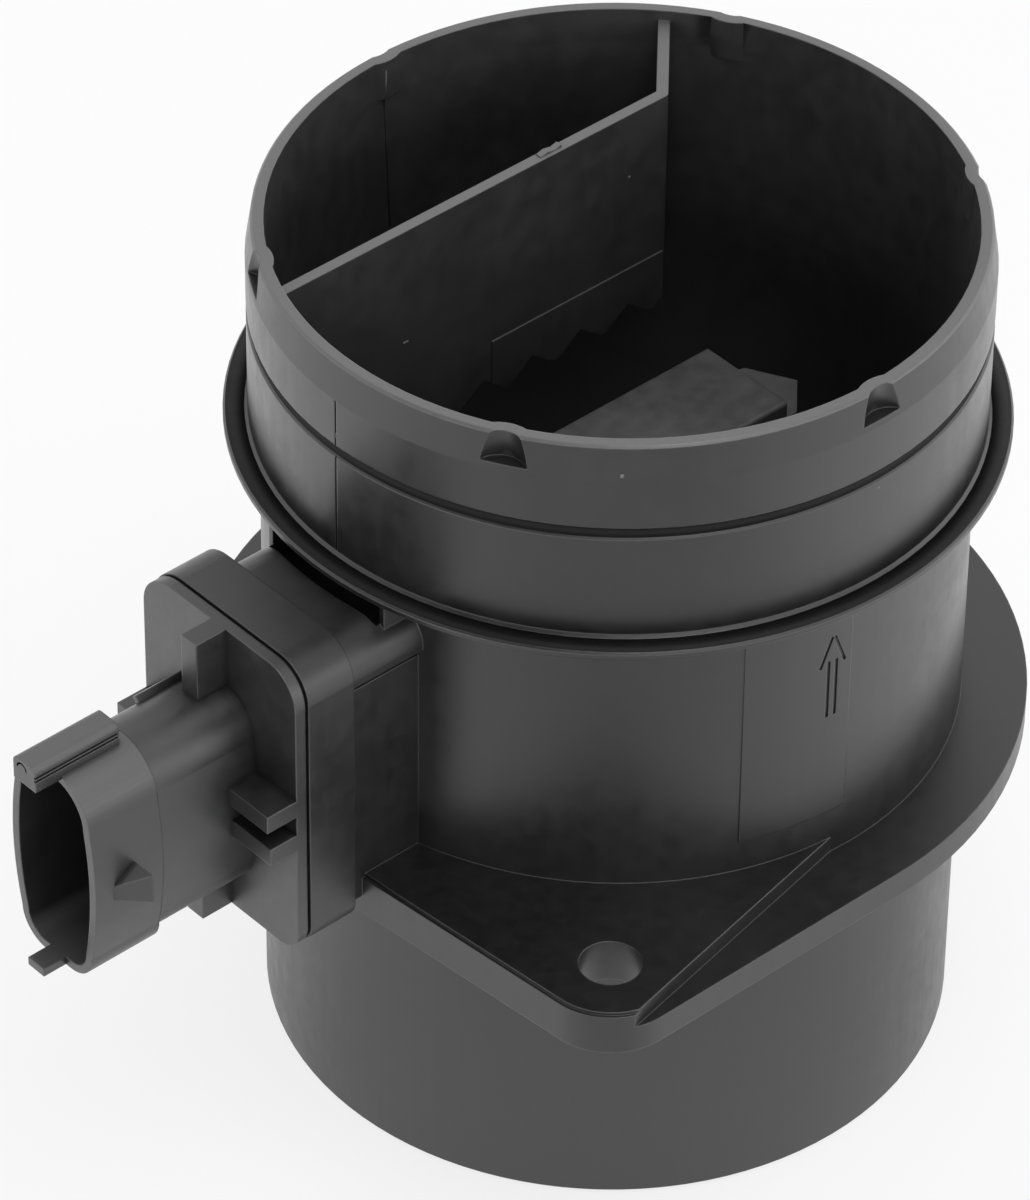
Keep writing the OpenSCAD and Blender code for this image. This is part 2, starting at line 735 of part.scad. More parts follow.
// Builds the two ribs over and under the neck, level with the insert flange's edges.
module flange_ribs() {
    inner = plug_h / 2 - neck_inset - plug_wall;
    outer = socket_h / 2 - insert_inset;
    towards_plug(insert_front - bite, insert_front + rib_l) {
        translate([-rib_t / 2, plug_z + inner]) square([rib_t, socket_z + outer - plug_z - inner]);
        translate([-rib_t / 2, socket_z - outer]) square([rib_t, plug_z - inner - socket_z + outer]);
    }
}

// Builds the pairs of bars beside the neck, level with the insert flange's side edges.
module side_bars() {
    mid = plug_z + bar_rise;
    reach = socket_w - insert_inset;
    inner = plug_w - neck_inset - plug_wall;
    for (side = [0, 1], low = [0, 1]) mirror([0, side, 0])
        towards_plug(insert_front - bite, insert_front + rib_l - low * bar_step)
            translate([inner, mid + bar_gap / 2 - low * (bar_gap + bar_t)]) square([reach - inner, bar_t]);
}

// Builds the key on the shroud's back: soft upper edges, two fine grooves and a curved slot.
module key() {
    root = plug_top - plug_wall / 2;
    high = plug_top + key_h;
    difference() {
        towards_plug(mouth_x - key_l, mouth_x + key_reach) {
            translate([-key_w / 2, root]) square([key_w, high - key_r - root]);
            translate([key_r - key_w / 2, high - key_r - bite]) square([key_w - 2 * key_r, key_r + bite]);
            for (side = [-1, 1]) translate([side * (key_w / 2 - key_r), high - key_r]) circle(r = key_r);
        }
        for (level = [1, 2]) towards_plug(mouth_x - key_l - cut, mouth_x + key_reach + cut)
            translate([-key_w / 2 - groove_d, high - key_r - level * 2 * groove_d])
                square([2 * groove_d, groove_d]);
        towards_plug(mouth_x + key_reach - slot_d, mouth_x + key_reach + cut)
            translate([key_r / 2, high - key_h / 2]) intersection() {
                difference() {
                    circle(r = key_r);
                    circle(r = key_r - groove_d);
                }
                translate([-key_r, 0]) square([2 * key_r, key_r]);
            }
    }
}

// Builds the tongue that runs on from the shroud's lower wall.
module tongue() {
    towards_plug(mouth_x - shroud_l / 2, mouth_x + tongue_reach)
        translate([-tongue_w / 2, plug_low]) square([tongue_w, plug_wall]);
}

// Builds the two latch wedges on the shroud's sides: ramps that rise away from the mouth.
module wedges() {
    foot = mouth_x - wedge_in;
    low = plug_z - wedge_drop;
    inner = plug_w - plug_wall / 2;
    for (side = [0, 1]) mirror([0, side, 0]) intersection() {
        translate([0, 0, low]) linear_extrude(wedge_h + slope_h) polygon([
            [-foot, inner], [-foot, plug_w], [wedge_l - foot, plug_w + wedge_rise],
            [wedge_l - foot, inner]]);
        sideways(0, far) polygon([[-foot - cut, low - cut], [-foot - cut, low + wedge_h],
            [-foot, low + wedge_h], [wedge_l - foot + cut, low + wedge_h + slope_h * (1 + cut / wedge_l)],
            [wedge_l - foot + cut, low - cut]]);
    }
}

// Builds the thin fin along the neck's upper corner.
module fin() {
    level = plug_h / 2 - plug_top_r;
    root = plug_top_r - neck_inset - plug_wall / 2;
    towards_plug(insert_front - bite, insert_front + fin_l)
        translate([side_at(level) - plug_top_r, plug_z + level]) rotate(fin_turn)
            translate([root, -fin_t / 2]) square([plug_top_r - root, fin_t]);
}

// Builds the connector: neck, shroud and what stands on them, with the open socket.
module connector() {
    difference() {
        union() {
            towards_plug(insert_front - bite, neck_front) translate([0, plug_z]) plug_outline(-neck_inset);
            towards_plug(neck_front, mouth_x) translate([0, plug_z]) plug_outline(0);
            key();
            tongue();
            wedges();
            fin();
            flange_ribs();
            side_bars();
        }
        towards_plug(floor_x, neck_front + cut) translate([0, plug_z])
            plug_outline(-neck_inset - plug_wall);
        towards_plug(neck_front, mouth_x + cut) translate([0, plug_z]) plug_outline(-plug_wall);
    }
}

// Builds the insert's flange, with the shadow groove towards the socket collar.
module insert_flange() {
    towards_plug(collar_front + shadow_w, insert_front) socket_outline(insert_inset);
    towards_plug(collar_front, collar_front + shadow_w) socket_outline(insert_inset + shadow_d);
}

module stem_outline(inset) {
    translate([0, sensor_z]) soft_box(stem_w - inset, stem_h - inset, stem_r - inset, stem_r - inset);
}

module blade_outline() {
    translate([0, sensor_z]) soft_box(blade_w, blade_h / 2, blade_r, blade_r);
}

// Builds the nose that stands in front of the blade's end, lower than its upper face.
module nose() {
    top = sensor_z + blade_h / 2 - nose_drop;
    translate([blade_end, 0, top - nose_h]) linear_extrude(nose_h) polygon([
        [-bite, -blade_w + bite], [nose_l * nose_tip, -blade_w + bite], [nose_l, -blade_w * nose_tip],
        [nose_l / 2, blade_w / 2], [-bite, blade_w * (1 - nose_tip)]]);
}

// Draws the seat of a cover in X and Z, between two places along X.
module cover_outline(from, to, inset) {
    high = blade_h / 2 - rim_t + seat_w;
    translate([(from + to) / 2, sensor_z])
        soft_box((to - from) / 2 - inset, high - inset, seat_w - inset, seat_w - inset);
}

module bay_seat(inset) {
    cover_outline(-bay_root - seat_w, -bay_end + seat_w / 2, inset);
}

module channel_seat(inset) {
    cover_outline(channel_start - seat_w / 2, channel_end + seat_w, inset);
}

// Cuts the circuit bay and its cover's seat.
module bay_cut() {
    translate([-bay_root, cover_y - cut, bay_low])
        cube([bay_l, bay_floor - cover_y + cut, bay_top - bay_low]);
    sideways(cover_y - cut, seat_y) bay_seat(0);
}

// Cuts the measuring channel round its island, with the inlet slot and the cover's seat.
module channel_cut() {
    difference() {
        sideways(cover_y, bay_floor) translate([(channel_start + channel_end) / 2, sensor_z])
            soft_box((channel_end - channel_start) / 2, (bay_top - bay_low) / 2, inlet_w / 2, inlet_w / 2);
        sideways(seat_y, bay_floor + cut) translate([island_x, bay_low]) {
            translate([-island_l / 2, -rim_t]) square([island_l, bay_top - bay_low - inlet_w]);
            translate([0, bay_top - bay_low - inlet_w - rim_t]) circle(r = island_l / 2);
        }
    }
    sideways(cover_y - cut, seat_y) channel_seat(0);
    translate([inlet_x - inlet_w / 2, seat_y + cover_t, sensor_z - blade_h / 2 - cut])
        cube([inlet_w, bay_floor - seat_y - cover_t, rim_t + 2 * cut]);
}

module sensor_body() color([0.12, 0.12, 0.13]) {
    difference() {
        union() {
            connector();
            insert_flange();
            towards_plug(stem_end, collar_front + bite) stem_outline(0);
            towards_plug(-blade_end, stem_end + bite) blade_outline();
            nose();
        }
        difference() {
            towards_plug(seal_x - seal_l, seal_x) stem_outline(-cut);
            towards_plug(seal_x - seal_l - cut, seal_x + cut) stem_outline(seal_d);
        }
        bay_cut();
        channel_cut();
        carrier_solid();
        for (i = [0:terminals - 1]) terminal(i);
        for (side = [-1, 1]) lead(side);
    }
}

// Each cover has a stepped edge, so that a fine line runs round it in the blade's side.
module electronics_cover() color([0.16, 0.16, 0.17]) union() {
    sideways(cover_y + edge_step, seat_y) bay_seat(cover_gap);
    sideways(cover_y, seat_y - edge_step) bay_seat(cover_gap + edge_step);
}

module bypass_cover() color([0.16, 0.16, 0.17]) difference() {
    union() {
        sideways(cover_y + edge_step, seat_y) channel_seat(cover_gap);
        sideways(cover_y, seat_y - edge_step) channel_seat(cover_gap + edge_step);
    }
    translate([channel_start + outlet_inset, cover_y - cut, bay_low + outlet_inset])
        cube([outlet_w, cover_t + 2 * cut, outlet_h]);
}

// The seal fills its groove and meets the boss's bore with two lips.
module seal_ring() color([0.08, 0.08, 0.09]) difference() {
    union() {
        towards_plug(seal_x - seal_l, seal_x - seal_l * 2 / 3) stem_outline(-stem_gap);
        towards_plug(seal_x - seal_l / 3, seal_x) stem_outline(-stem_gap);
        towards_plug(seal_x - seal_l, seal_x) stem_outline(lip_d - stem_gap);
    }
    towards_plug(seal_x - seal_l - cut, seal_x + cut) stem_outline(seal_d);
}

module base_plate() color([0.68, 0.69, 0.70])
    translate([plate_gap - bay_root, plate_y, bay_low + plate_gap])
        cube([bay_l - 2 * plate_gap, plate_t, bay_top - bay_low - 2 * plate_gap]);

module circuit_board() color([0.86, 0.85, 0.80])
    translate([-board_root, board_y, sensor_z - board_h / 2]) cube([board_l, board_t, board_h]);

module signal_chip() color([0.10, 0.10, 0.11])
    translate([-board_root + board_l / 2 - chip_w / 2, board_y - chip_t, sensor_z - chip_w / 2])
        cube([chip_w, chip_t, chip_w]);

// Places a capacitor beside the signal chip: 1 above it and -1 below it.
module capacitor(side) {
    translate([-board_root + board_l / 2 - cap_l / 2, board_y - cap_t,
               sensor_z + side * (chip_w + cap_t + 2 * cap_gap) / 2 - cap_t / 2])
        cube([cap_l, cap_t, cap_t]);
}

module capacitor_a() color([0.62, 0.50, 0.36]) capacitor(1);

module capacitor_b() color([0.62, 0.50, 0.36]) capacitor(-1);

// The carrier lies on the board's end and passes through the wall into the channel.
module carrier_solid() {
    start = -board_root + board_l - 2 * carrier_t;
    translate([start, carrier_y, carrier_z - carrier_h / 2])
        cube([channel_start + carrier_reach - start, carrier_t, carrier_h]);
}

module chip_carrier() color([0.30, 0.42, 0.34]) carrier_solid();

module sensing_chip() color([0.45, 0.47, 0.52])
    translate([channel_start + carrier_reach - film_l - carrier_t / 2, carrier_y - film_t,
               carrier_z - film_h / 2]) cube([film_l, film_t, film_h]);

// Runs one lead of the thermistor from the circuit bay down into the bead.
module lead(side) {
    low = sensor_z - blade_h / 2 - bead_drop;
    translate([-bead_x + side * lead_gap / 2, 0, low])
        cylinder(r = lead_r, h = bay_low + lead_in - low, $fn = $fn / 3);
}

module temp_lead_a() color([0.75, 0.75, 0.74]) lead(-1);

module temp_lead_b() color([0.75, 0.75, 0.74]) lead(1);

module temp_bead() color([0.20, 0.17, 0.14]) difference() {
    translate([-bead_x, 0, sensor_z - blade_h / 2 - bead_drop]) sphere(r = thermistor_r, $fn = $fn / 2);
    for (side = [-1, 1]) lead(side);
}

// Runs one flat terminal from its tapered tip in the socket to the circuit bay.
module terminal(i) {
    level = plug_z + (i - (terminals - 1) / 2) * pin_pitch;
    tip = floor_x + pin_free;
    translate([0, 0, level - pin_w / 2]) linear_extrude(pin_w) polygon([
        [-pin_in, pin_t / 2], [-pin_in, -pin_t / 2], [pin_tip - tip, -pin_t / 2], [-tip, -pin_t / 6],
        [-tip, pin_t / 6], [pin_tip - tip, pin_t / 2]]);
}

module shown_terminal(i) color([0.80, 0.74, 0.52]) terminal(i);

housing();
sensor_body();
electronics_cover();
bypass_cover();
seal_ring();
base_plate();
circuit_board();
signal_chip();
capacitor_a();
capacitor_b();
chip_carrier();
sensing_chip();
temp_bead();
temp_lead_a();
temp_lead_b();
shown_terminal(0);  // terminal_1
shown_terminal(1);  // terminal_2
shown_terminal(2);  // terminal_3
shown_terminal(3);  // terminal_4
shown_terminal(4);  // terminal_5
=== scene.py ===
"""Mass airflow sensor, dressed and lit for a plain studio picture.

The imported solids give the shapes. This script gives every solid a finish of its own, adds the
small marks that moulding left behind, and sets the floor, the lamps and the camera.
Everything is in metres, with Z up along the duct and the plug-in sensor towards -X.
"""

import logging
import math
from abc import ABC, abstractmethod
from dataclasses import dataclass, field
from enum import Enum

import bmesh
import bpy
from mathutils import Matrix, Vector


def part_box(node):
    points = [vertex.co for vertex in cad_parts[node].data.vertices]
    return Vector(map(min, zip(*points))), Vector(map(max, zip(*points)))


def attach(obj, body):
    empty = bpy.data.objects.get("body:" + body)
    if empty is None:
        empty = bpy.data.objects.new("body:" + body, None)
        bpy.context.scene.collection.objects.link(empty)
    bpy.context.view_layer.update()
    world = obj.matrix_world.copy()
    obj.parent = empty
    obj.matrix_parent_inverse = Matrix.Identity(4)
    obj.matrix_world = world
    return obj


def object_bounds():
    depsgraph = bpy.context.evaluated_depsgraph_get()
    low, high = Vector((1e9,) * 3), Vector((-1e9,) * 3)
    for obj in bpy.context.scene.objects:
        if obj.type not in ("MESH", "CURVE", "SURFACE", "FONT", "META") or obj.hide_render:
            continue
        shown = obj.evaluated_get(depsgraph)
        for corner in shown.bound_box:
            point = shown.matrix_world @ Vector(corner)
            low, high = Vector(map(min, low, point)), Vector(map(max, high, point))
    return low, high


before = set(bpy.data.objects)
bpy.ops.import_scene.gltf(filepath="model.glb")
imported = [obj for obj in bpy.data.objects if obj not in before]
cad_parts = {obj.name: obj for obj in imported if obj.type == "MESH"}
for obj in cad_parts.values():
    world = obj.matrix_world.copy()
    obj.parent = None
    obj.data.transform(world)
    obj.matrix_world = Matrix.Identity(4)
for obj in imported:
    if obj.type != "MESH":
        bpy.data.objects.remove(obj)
CAD_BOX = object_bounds()

LOG = logging.getLogger("airflow_sensor")
MM = 0.001
SAME_PLACE = 0.0001 * MM
Colour = tuple[float, float, float]
Span = tuple[float, float]
Node = bpy.types.Node
Socket = bpy.types.NodeSocket


class Slot(Enum):
    """The material slots that the record names, one for each real material."""

    HOUSING = "housing_black"
    SENSOR = "sensor_black"
    COVER = "cover_black"
    SEAL = "seal_rubber"
    PLATE = "plate_metal"
    BOARD = "board_ceramic"
    CHIP = "chip_black"
    CAPACITOR = "capacitor_tan"
    CARRIER = "carrier_green"
    SILICON = "silicon"
    BEAD = "bead_glass"
    LEAD = "lead_wire"
    CONTACT = "contact_tin"


class Draw(Enum):
    """The way a moulding left its mould, which is the way its faint drag marks run."""

    UP = (900.0, 900.0, 14.0)
    OUT = (14.0, 900.0, 900.0)


# Shader trees


class Graph:
    """Short ways to add and join the nodes of one tree."""

    def __init__(self, tree: bpy.types.NodeTree) -> None:
        """Keeps the tree that the nodes go into.

        Args:
            tree: the node tree of a material, a world or a group.
        """
        self.tree = tree

    def add(self, kind: str, inputs: dict | None = None, **settings: object) -> Node:
        """Adds one node.

        Args:
            kind: Blender's type name of the node.
            inputs: a value or a socket for each input, by name or number.
            settings: the node's own properties.

        Returns:
            The new node.
        """
        node = self.tree.nodes.new(kind)
        for name, value in settings.items():
            setattr(node, name, value)
        for name, value in (inputs or {}).items():
            self.put(node.inputs[name], value)
        return node

    def put(self, socket: Socket, value: object) -> None:
        """Links a socket to an input, or sets the input's value.

        Args:
            socket: the input.
            value: another node's output, or a plain value.
        """
        if isinstance(value, Socket):
            self.tree.links.new(value, socket)
        else:
            socket.default_value = value

    def math(self, operation: str, first: object, second: object = 0.0,
             third: object = 0.0) -> Socket:
        """Adds a Math node and returns its value.

        Args:
            operation: the node's operation.
            first: the first number or socket.
            second: the second number or socket.
            third: the third, for the operations that take three.

        Returns:
            The result's socket.
        """
        ends = {0: first, 1: second, 2: third}
        return self.add("ShaderNodeMath", ends, operation=operation).outputs[0]

    def spread(self, value: object, low: float, high: float, to_low: float = 0.0,
               to_high: float = 1.0) -> Socket:
        """Maps a value from one range to another and holds it there.

        Args:
            value: the socket to map.
            low: the value that becomes to_low.
            high: the value that becomes to_high.
            to_low: the result at the low end.
            to_high: the result at the high end.

        Returns:
            The result's socket.
        """
        ends = {"Value": value, "From Min": low, "From Max": high, "To Min": to_low, "To Max": to_high}
        return self.add("ShaderNodeMapRange", ends, clamp=True).outputs["Result"]

    def noise(self, place: object, scale: float, detail: float = 2.0,
              roughness: float = 0.5) -> Socket:
        """Adds a noise pattern.

        Args:
            place: the coordinates' socket.
            scale: patterns in a metre.
            detail: how many finer octaves it has.
            roughness: how strong the finer octaves are.

        Returns:
            The pattern's value socket.
        """
        inputs = {"Vector": place, "Scale": scale, "Detail": detail, "Roughness": roughness}
        return self.add("ShaderNodeTexNoise", inputs).outputs[0]

    def stretch(self, place: object, scale: tuple[float, float, float]) -> Socket:
        """Scales coordinates by axis, so that a pattern runs long along one of them.

        Args:
            place: the coordinates' socket.
            scale: the factor along each axis.

        Returns:
            The scaled coordinates' socket.
        """
        return self.add("ShaderNodeMapping", {"Vector": place, "Scale": scale}).outputs[0]

    def tint(self, factor: object, first: object, second: object) -> Socket:
        """Mixes two colours.

        Args:
            factor: how much of the second colour shows.
            first: a colour or a colour socket.
            second: a colour or a colour socket.

        Returns:
            The mixed colour's socket.
        """
        node = self.add("ShaderNodeMix", data_type="RGBA")
        self.put(node.inputs["Factor"], factor)
        self.put(node.inputs[6], first if isinstance(first, Socket) else (*first, 1.0))
        self.put(node.inputs[7], second if isinstance(second, Socket) else (*second, 1.0))
        return node.outputs[2]

    def place(self) -> Socket:
        """Returns the coordinates of the object, in metres."""
        return self.add("ShaderNodeTexCoord").outputs["Object"]

    def level(self, vector: object) -> Socket:
        """Lays a vector flat, by leaving out its height.

        Args:
            vector: the vector's socket.

        Returns:
            The flat vector's socket.
        """
        axes = self.add("ShaderNodeSeparateXYZ", {0: vector}).outputs
        return self.add("ShaderNodeCombineXYZ", {0: axes[0], 1: axes[1]}).outputs[0]

    def length(self, vector: object) -> Socket:
        """Measures a vector.

        Args:
            vector: the vector's socket.

        Returns:
            The length's socket.
        """
        return self.add("ShaderNodeVectorMath", {0: vector}, operation="LENGTH").outputs["Value"]

    def facing(self, flat: object, azimuth: float) -> Socket:
        """Says how nearly a level vector points to an azimuth.

        Args:
            flat: the level vector, of any length.
            azimuth: the azimuth in degrees.

        Returns:
            The cosine of the angle between them.
        """
        way = self.add("ShaderNodeVectorMath", {0: flat}, operation="NORMALIZE").outputs[0]
        turn = math.radians(azimuth)
        ends = {0: way, 1: (math.cos(turn), math.sin(turn), 0.0)}
        return self.add("ShaderNodeVectorMath", ends, operation="DOT_PRODUCT").outputs["Value"]

    def blend(self, share: object, first: object, second: object) -> Socket:
        """Mixes two levels of light.

        Args:
            share: how much of the second level shows.
            first: the first level.
            second: the second level.

        Returns:
            The mixed level.
        """
        return self.add("ShaderNodeMix", {0: share, 2: first, 3: second}, data_type="FLOAT").outputs[0]


@dataclass(frozen=True)
class Mottle:
    """A soft cloudy pattern, and the part of its range that is spread from 0 to 1."""

    scale: float
    low: float
    high: float
    detail: float = 3.0
    roughness: float = 0.5

    def wire(self, graph: Graph, place: object) -> Socket:
        """Adds the pattern.

        Args:
            graph: the tree that it goes into.
            place: the coordinates' socket.

        Returns:
            The pattern's socket, from 0 to 1.
        """
        cloud = graph.noise(place, self.scale, self.detail, self.roughness)
        return graph.spread(cloud, self.low, self.high)


@dataclass(frozen=True)
class Relief:
    """How far a pattern stands out of the surface."""

    strength: float
    depth: float

    def wire(self, graph: Graph, shader: Node, height: object, normal: object = None) -> None:
        """Feeds the shader's normal.

        Args:
            graph: the material's tree.
            shader: its Principled BSDF node.
            height: the pattern's socket.
            normal: the normal that it starts from, where that isn't the surface's own.
        """
        inputs = {"Strength": self.strength, "Distance": self.depth, "Height": height}
        if normal is not None:
            inputs["Normal"] = normal
        graph.put(shader.inputs["Normal"], graph.add("ShaderNodeBump", inputs).outputs[0])


class Effect(ABC):
    """A node group that several finishes share. Its tree is built once."""

    title = ""
    takes: dict[str, float] = {}
    gives: dict[str, str] = {}

    @abstractmethod
    def wire(self, graph: Graph, given: Node) -> dict[str, Socket]:
        """Builds the inside of the group.

        Args:
            graph: the group's tree.
            given: the group's input node.

        Returns:
            The socket behind each output.
        """

    def tree(self) -> bpy.types.NodeTree:
        """Returns the group's tree, building it on first use."""
        found = bpy.data.node_groups.get(self.title)
        if found:
            return found
        tree = bpy.data.node_groups.new(self.title, "ShaderNodeTree")
        for name, value in self.takes.items():
            socket = tree.interface.new_socket(name, in_out="INPUT", socket_type="NodeSocketFloat")
            socket.default_value = value
        for name, kind in self.gives.items():
            tree.interface.new_socket(name, in_out="OUTPUT", socket_type=kind)
        graph = Graph(tree)
        results = self.wire(graph, graph.add("NodeGroupInput"))
        graph.add("NodeGroupOutput", results)
        return tree

    def use(self, graph: Graph, **values: object) -> Node:
        """Puts the group into a material's tree.

        Args:
            graph: the material's tree.
            values: a value for each of the group's inputs.

        Returns:
            The group node.
        """
        return graph.add("ShaderNodeGroup", values, node_tree=self.tree())


class EdgesAndCorners(Effect):
    """Rounds the light over sharp outer edges, and finds those edges and the inner corners."""

    title = "edges and corners"
    takes = {"Radius": 0.25 * MM, "Fillet": 0.0}
    gives = {"Normal": "NodeSocketVector", "Edge": "NodeSocketFloat", "Corner": "NodeSocketFloat"}
    rays = 6
    bent = (0.995, 0.86)
    outlook = 3.0
    shaded = (0.98, 0.82)
    inner_limit = 0.5

    def wire(self, graph: Graph, given: Node) -> dict[str, Socket]:
        """Compares the rounded normal with the true one, and keeps it out of inner corners.

        Args:
            graph: the group's tree.
            given: the group's input node.

        Returns:
            The rounded normal, a value that is 1 on an outer edge, and one that is 1 in a corner.
        """
        radius = given.outputs["Radius"]
        rounded = graph.add("ShaderNodeBevel", {"Radius": radius}, samples=self.rays).outputs[0]
        true = graph.add("ShaderNodeNewGeometry").outputs["Normal"]
        both = graph.add("ShaderNodeVectorMath", {0: rounded, 1: true}, operation="DOT_PRODUCT")
        bend = graph.spread(both.outputs["Value"], *self.bent)
        reach = graph.math("MULTIPLY", radius, self.outlook)
        sky = graph.add("ShaderNodeAmbientOcclusion", {"Distance": reach}, samples=self.rays).outputs["AO"]
        inner = graph.spread(sky, *self.shaded)
        corner = graph.math("MULTIPLY", inner, graph.math("SUBTRACT", 1.0, given.outputs["Fillet"]))
        kept = graph.add("ShaderNodeMix", {0: corner, 4: rounded, 5: true}, data_type="VECTOR").outputs[1]
        outer = graph.math("SUBTRACT", 1.0, graph.spread(inner, 0.0, self.inner_limit))
        return {"Normal": kept, "Edge": graph.math("MULTIPLY", bend, outer), "Corner": corner}


class MouldGrain(Effect):
    """The skin of a moulding: the mould's fine texture, slow clouds of gloss, and drag marks."""

    title = "mould grain"
    takes = {"Pitch": 0.3 * MM, "Along X": 900.0, "Along Y": 900.0, "Along Z": 14.0}
    gives = {"Fine": "NodeSocketFloat", "Cloud": "NodeSocketFloat", "Drag": "NodeSocketFloat"}
    fine_octaves = (3.0, 0.6)
    wide_pattern = (55.0, 2.0, 0.45)
    near_pattern = (420.0, 3.0, 0.55)
    half = 0.5
    cloud_range = (0.36, 0.64)
    drag_range = (0.35, 0.68)

    def wire(self, graph: Graph, given: Node) -> dict[str, Socket]:
        """Makes the three patterns.

        Args:
            graph: the group's tree.
            given: the group's input node.

        Returns:
            The fine texture, the clouds and the drag marks, each from 0 to 1.
        """
        place = graph.place()
        scale = graph.math("DIVIDE", 1.0, given.outputs["Pitch"])
        fine = graph.noise(place, scale, *self.fine_octaves)
        wide = graph.math("MULTIPLY", graph.noise(place, *self.wide_pattern), self.half)
        cloud = graph.math("MULTIPLY_ADD", graph.noise(place, *self.near_pattern), self.half, wide)
        along = [given.outputs[name] for name in ("Along X", "Along Y", "Along Z")]
        factor = graph.add("ShaderNodeCombineXYZ", dict(enumerate(along))).outputs[0]
        stretched = graph.add("ShaderNodeVectorMath", {0: place, 1: factor}, operation="MULTIPLY").outputs[0]
        drag = graph.noise(stretched, 1.0)
        return {"Fine": fine, "Cloud": graph.spread(cloud, *self.cloud_range),
                "Drag": graph.spread(drag, *self.drag_range)}


class Inside(Effect):
    """Finds the points near the duct's axis: the duct's inside, which finishes paint lighter and give a
    rougher gloss, and the floor under the part.
    """

    title = "inside"
    takes = {"Reach": 0.0}
    gives = {"Inside": "NodeSocketFloat"}

    def wire(self, graph: Graph, given: Node) -> dict[str, Socket]:
        """Measures the distance from the axis.

        Args:
            graph: the group's tree.
            given: the group's input node.

        Returns:
            A value that is 1 within the reach and 0 beyond it.
        """
        far = graph.length(graph.level(graph.place()))
        return {"Inside": graph.math("LESS_THAN", far, given.outputs["Reach"])}


class Crown(Effect):
    """Finds the faces that look up, above a level and away from the duct's axis, where light from above is
    painted.
    """

    title = "crown"
    takes = {"Level": 0.0, "Reach": 0.0}
    gives = {"Crown": "NodeSocketFloat"}
    looks_up = (0.35, 0.75)

    def wire(self, graph: Graph, given: Node) -> dict[str, Socket]:
        """Joins the height, the distance and the way that the face looks.

        Args:
            graph: the group's tree.
            given: the group's input node.

        Returns:
            A value that is 1 on a face that looks up, above the level and beyond the reach.
        """
        height = graph.add("ShaderNodeSeparateXYZ", {0: graph.place()}).outputs["Z"]
        face = graph.add("ShaderNodeNewGeometry").outputs["True Normal"]
        upward = graph.add("ShaderNodeSeparateXYZ", {0: face}).outputs["Z"]
        high = graph.math("GREATER_THAN", height, given.outputs["Level"])
        near = Inside().use(graph, Reach=given.outputs["Reach"]).outputs["Inside"]
        away = graph.math("SUBTRACT", 1.0, near)
        up = graph.spread(upward, *self.looks_up)
        return {"Crown": graph.math("MULTIPLY", up, graph.math("MULTIPLY", high, away))}


class Lint(Effect):
    """A few pale specks of dust and moulding flash."""

    title = "lint"
    takes = {"Amount": 1.0}
    gives = {"Speck": "NodeSocketFloat"}
    cells = 85.0
    outline_pattern = (2600.0, 1.0)
    outline_bend = 0.012
    dot_edge = (0.024, 0.012)
    chosen_cells = (0.9, 0.92)

    def wire(self, graph: Graph, given: Node) -> dict[str, Socket]:
        """Keeps a small dot in a few cells of a cell pattern.

        Args:
            graph: the group's tree.
            given: the group's input node.

        Returns:
            A value that is 1 inside a speck.
        """
        place = graph.place()
        bend = graph.noise(place, *self.outline_pattern)
        cell = graph.add("ShaderNodeTexVoronoi", {"Vector": place, "Scale": self.cells}).outputs
        reach = graph.math("MULTIPLY_ADD", bend, self.outline_bend, cell["Distance"])
        dot = graph.spread(reach, *self.dot_edge)
        luck = graph.add("ShaderNodeSeparateColor", {0: cell["Color"]}).outputs[0]
        both = graph.math("MULTIPLY", dot, graph.spread(luck, *self.chosen_cells))
        return {"Speck": graph.math("MULTIPLY", both, given.outputs["Amount"])}


# Finishes


@dataclass(frozen=True)
class Finish(ABC):
    """One real material. Every finish builds its own node tree."""

    slot: Slot

    @abstractmethod
    def paint(self, graph: Graph, shader: Node) -> None:
        """Wires the finish into the shader.

        Args:
            graph: the material's tree.
            shader: its Principled BSDF node.
        """

    def material(self) -> bpy.types.Material:
        """Builds the finish and returns its material."""
        made = bpy.data.materials.new(f"finish_{self.slot.value}")
        made.use_nodes = True
        made.node_tree.nodes.clear()
        graph = Graph(made.node_tree)
        shader = graph.add("ShaderNodeBsdfPrincipled")
        graph.add("ShaderNodeOutputMaterial", {"Surface": shader.outputs[0]})
        self.paint(graph, shader)
        return made


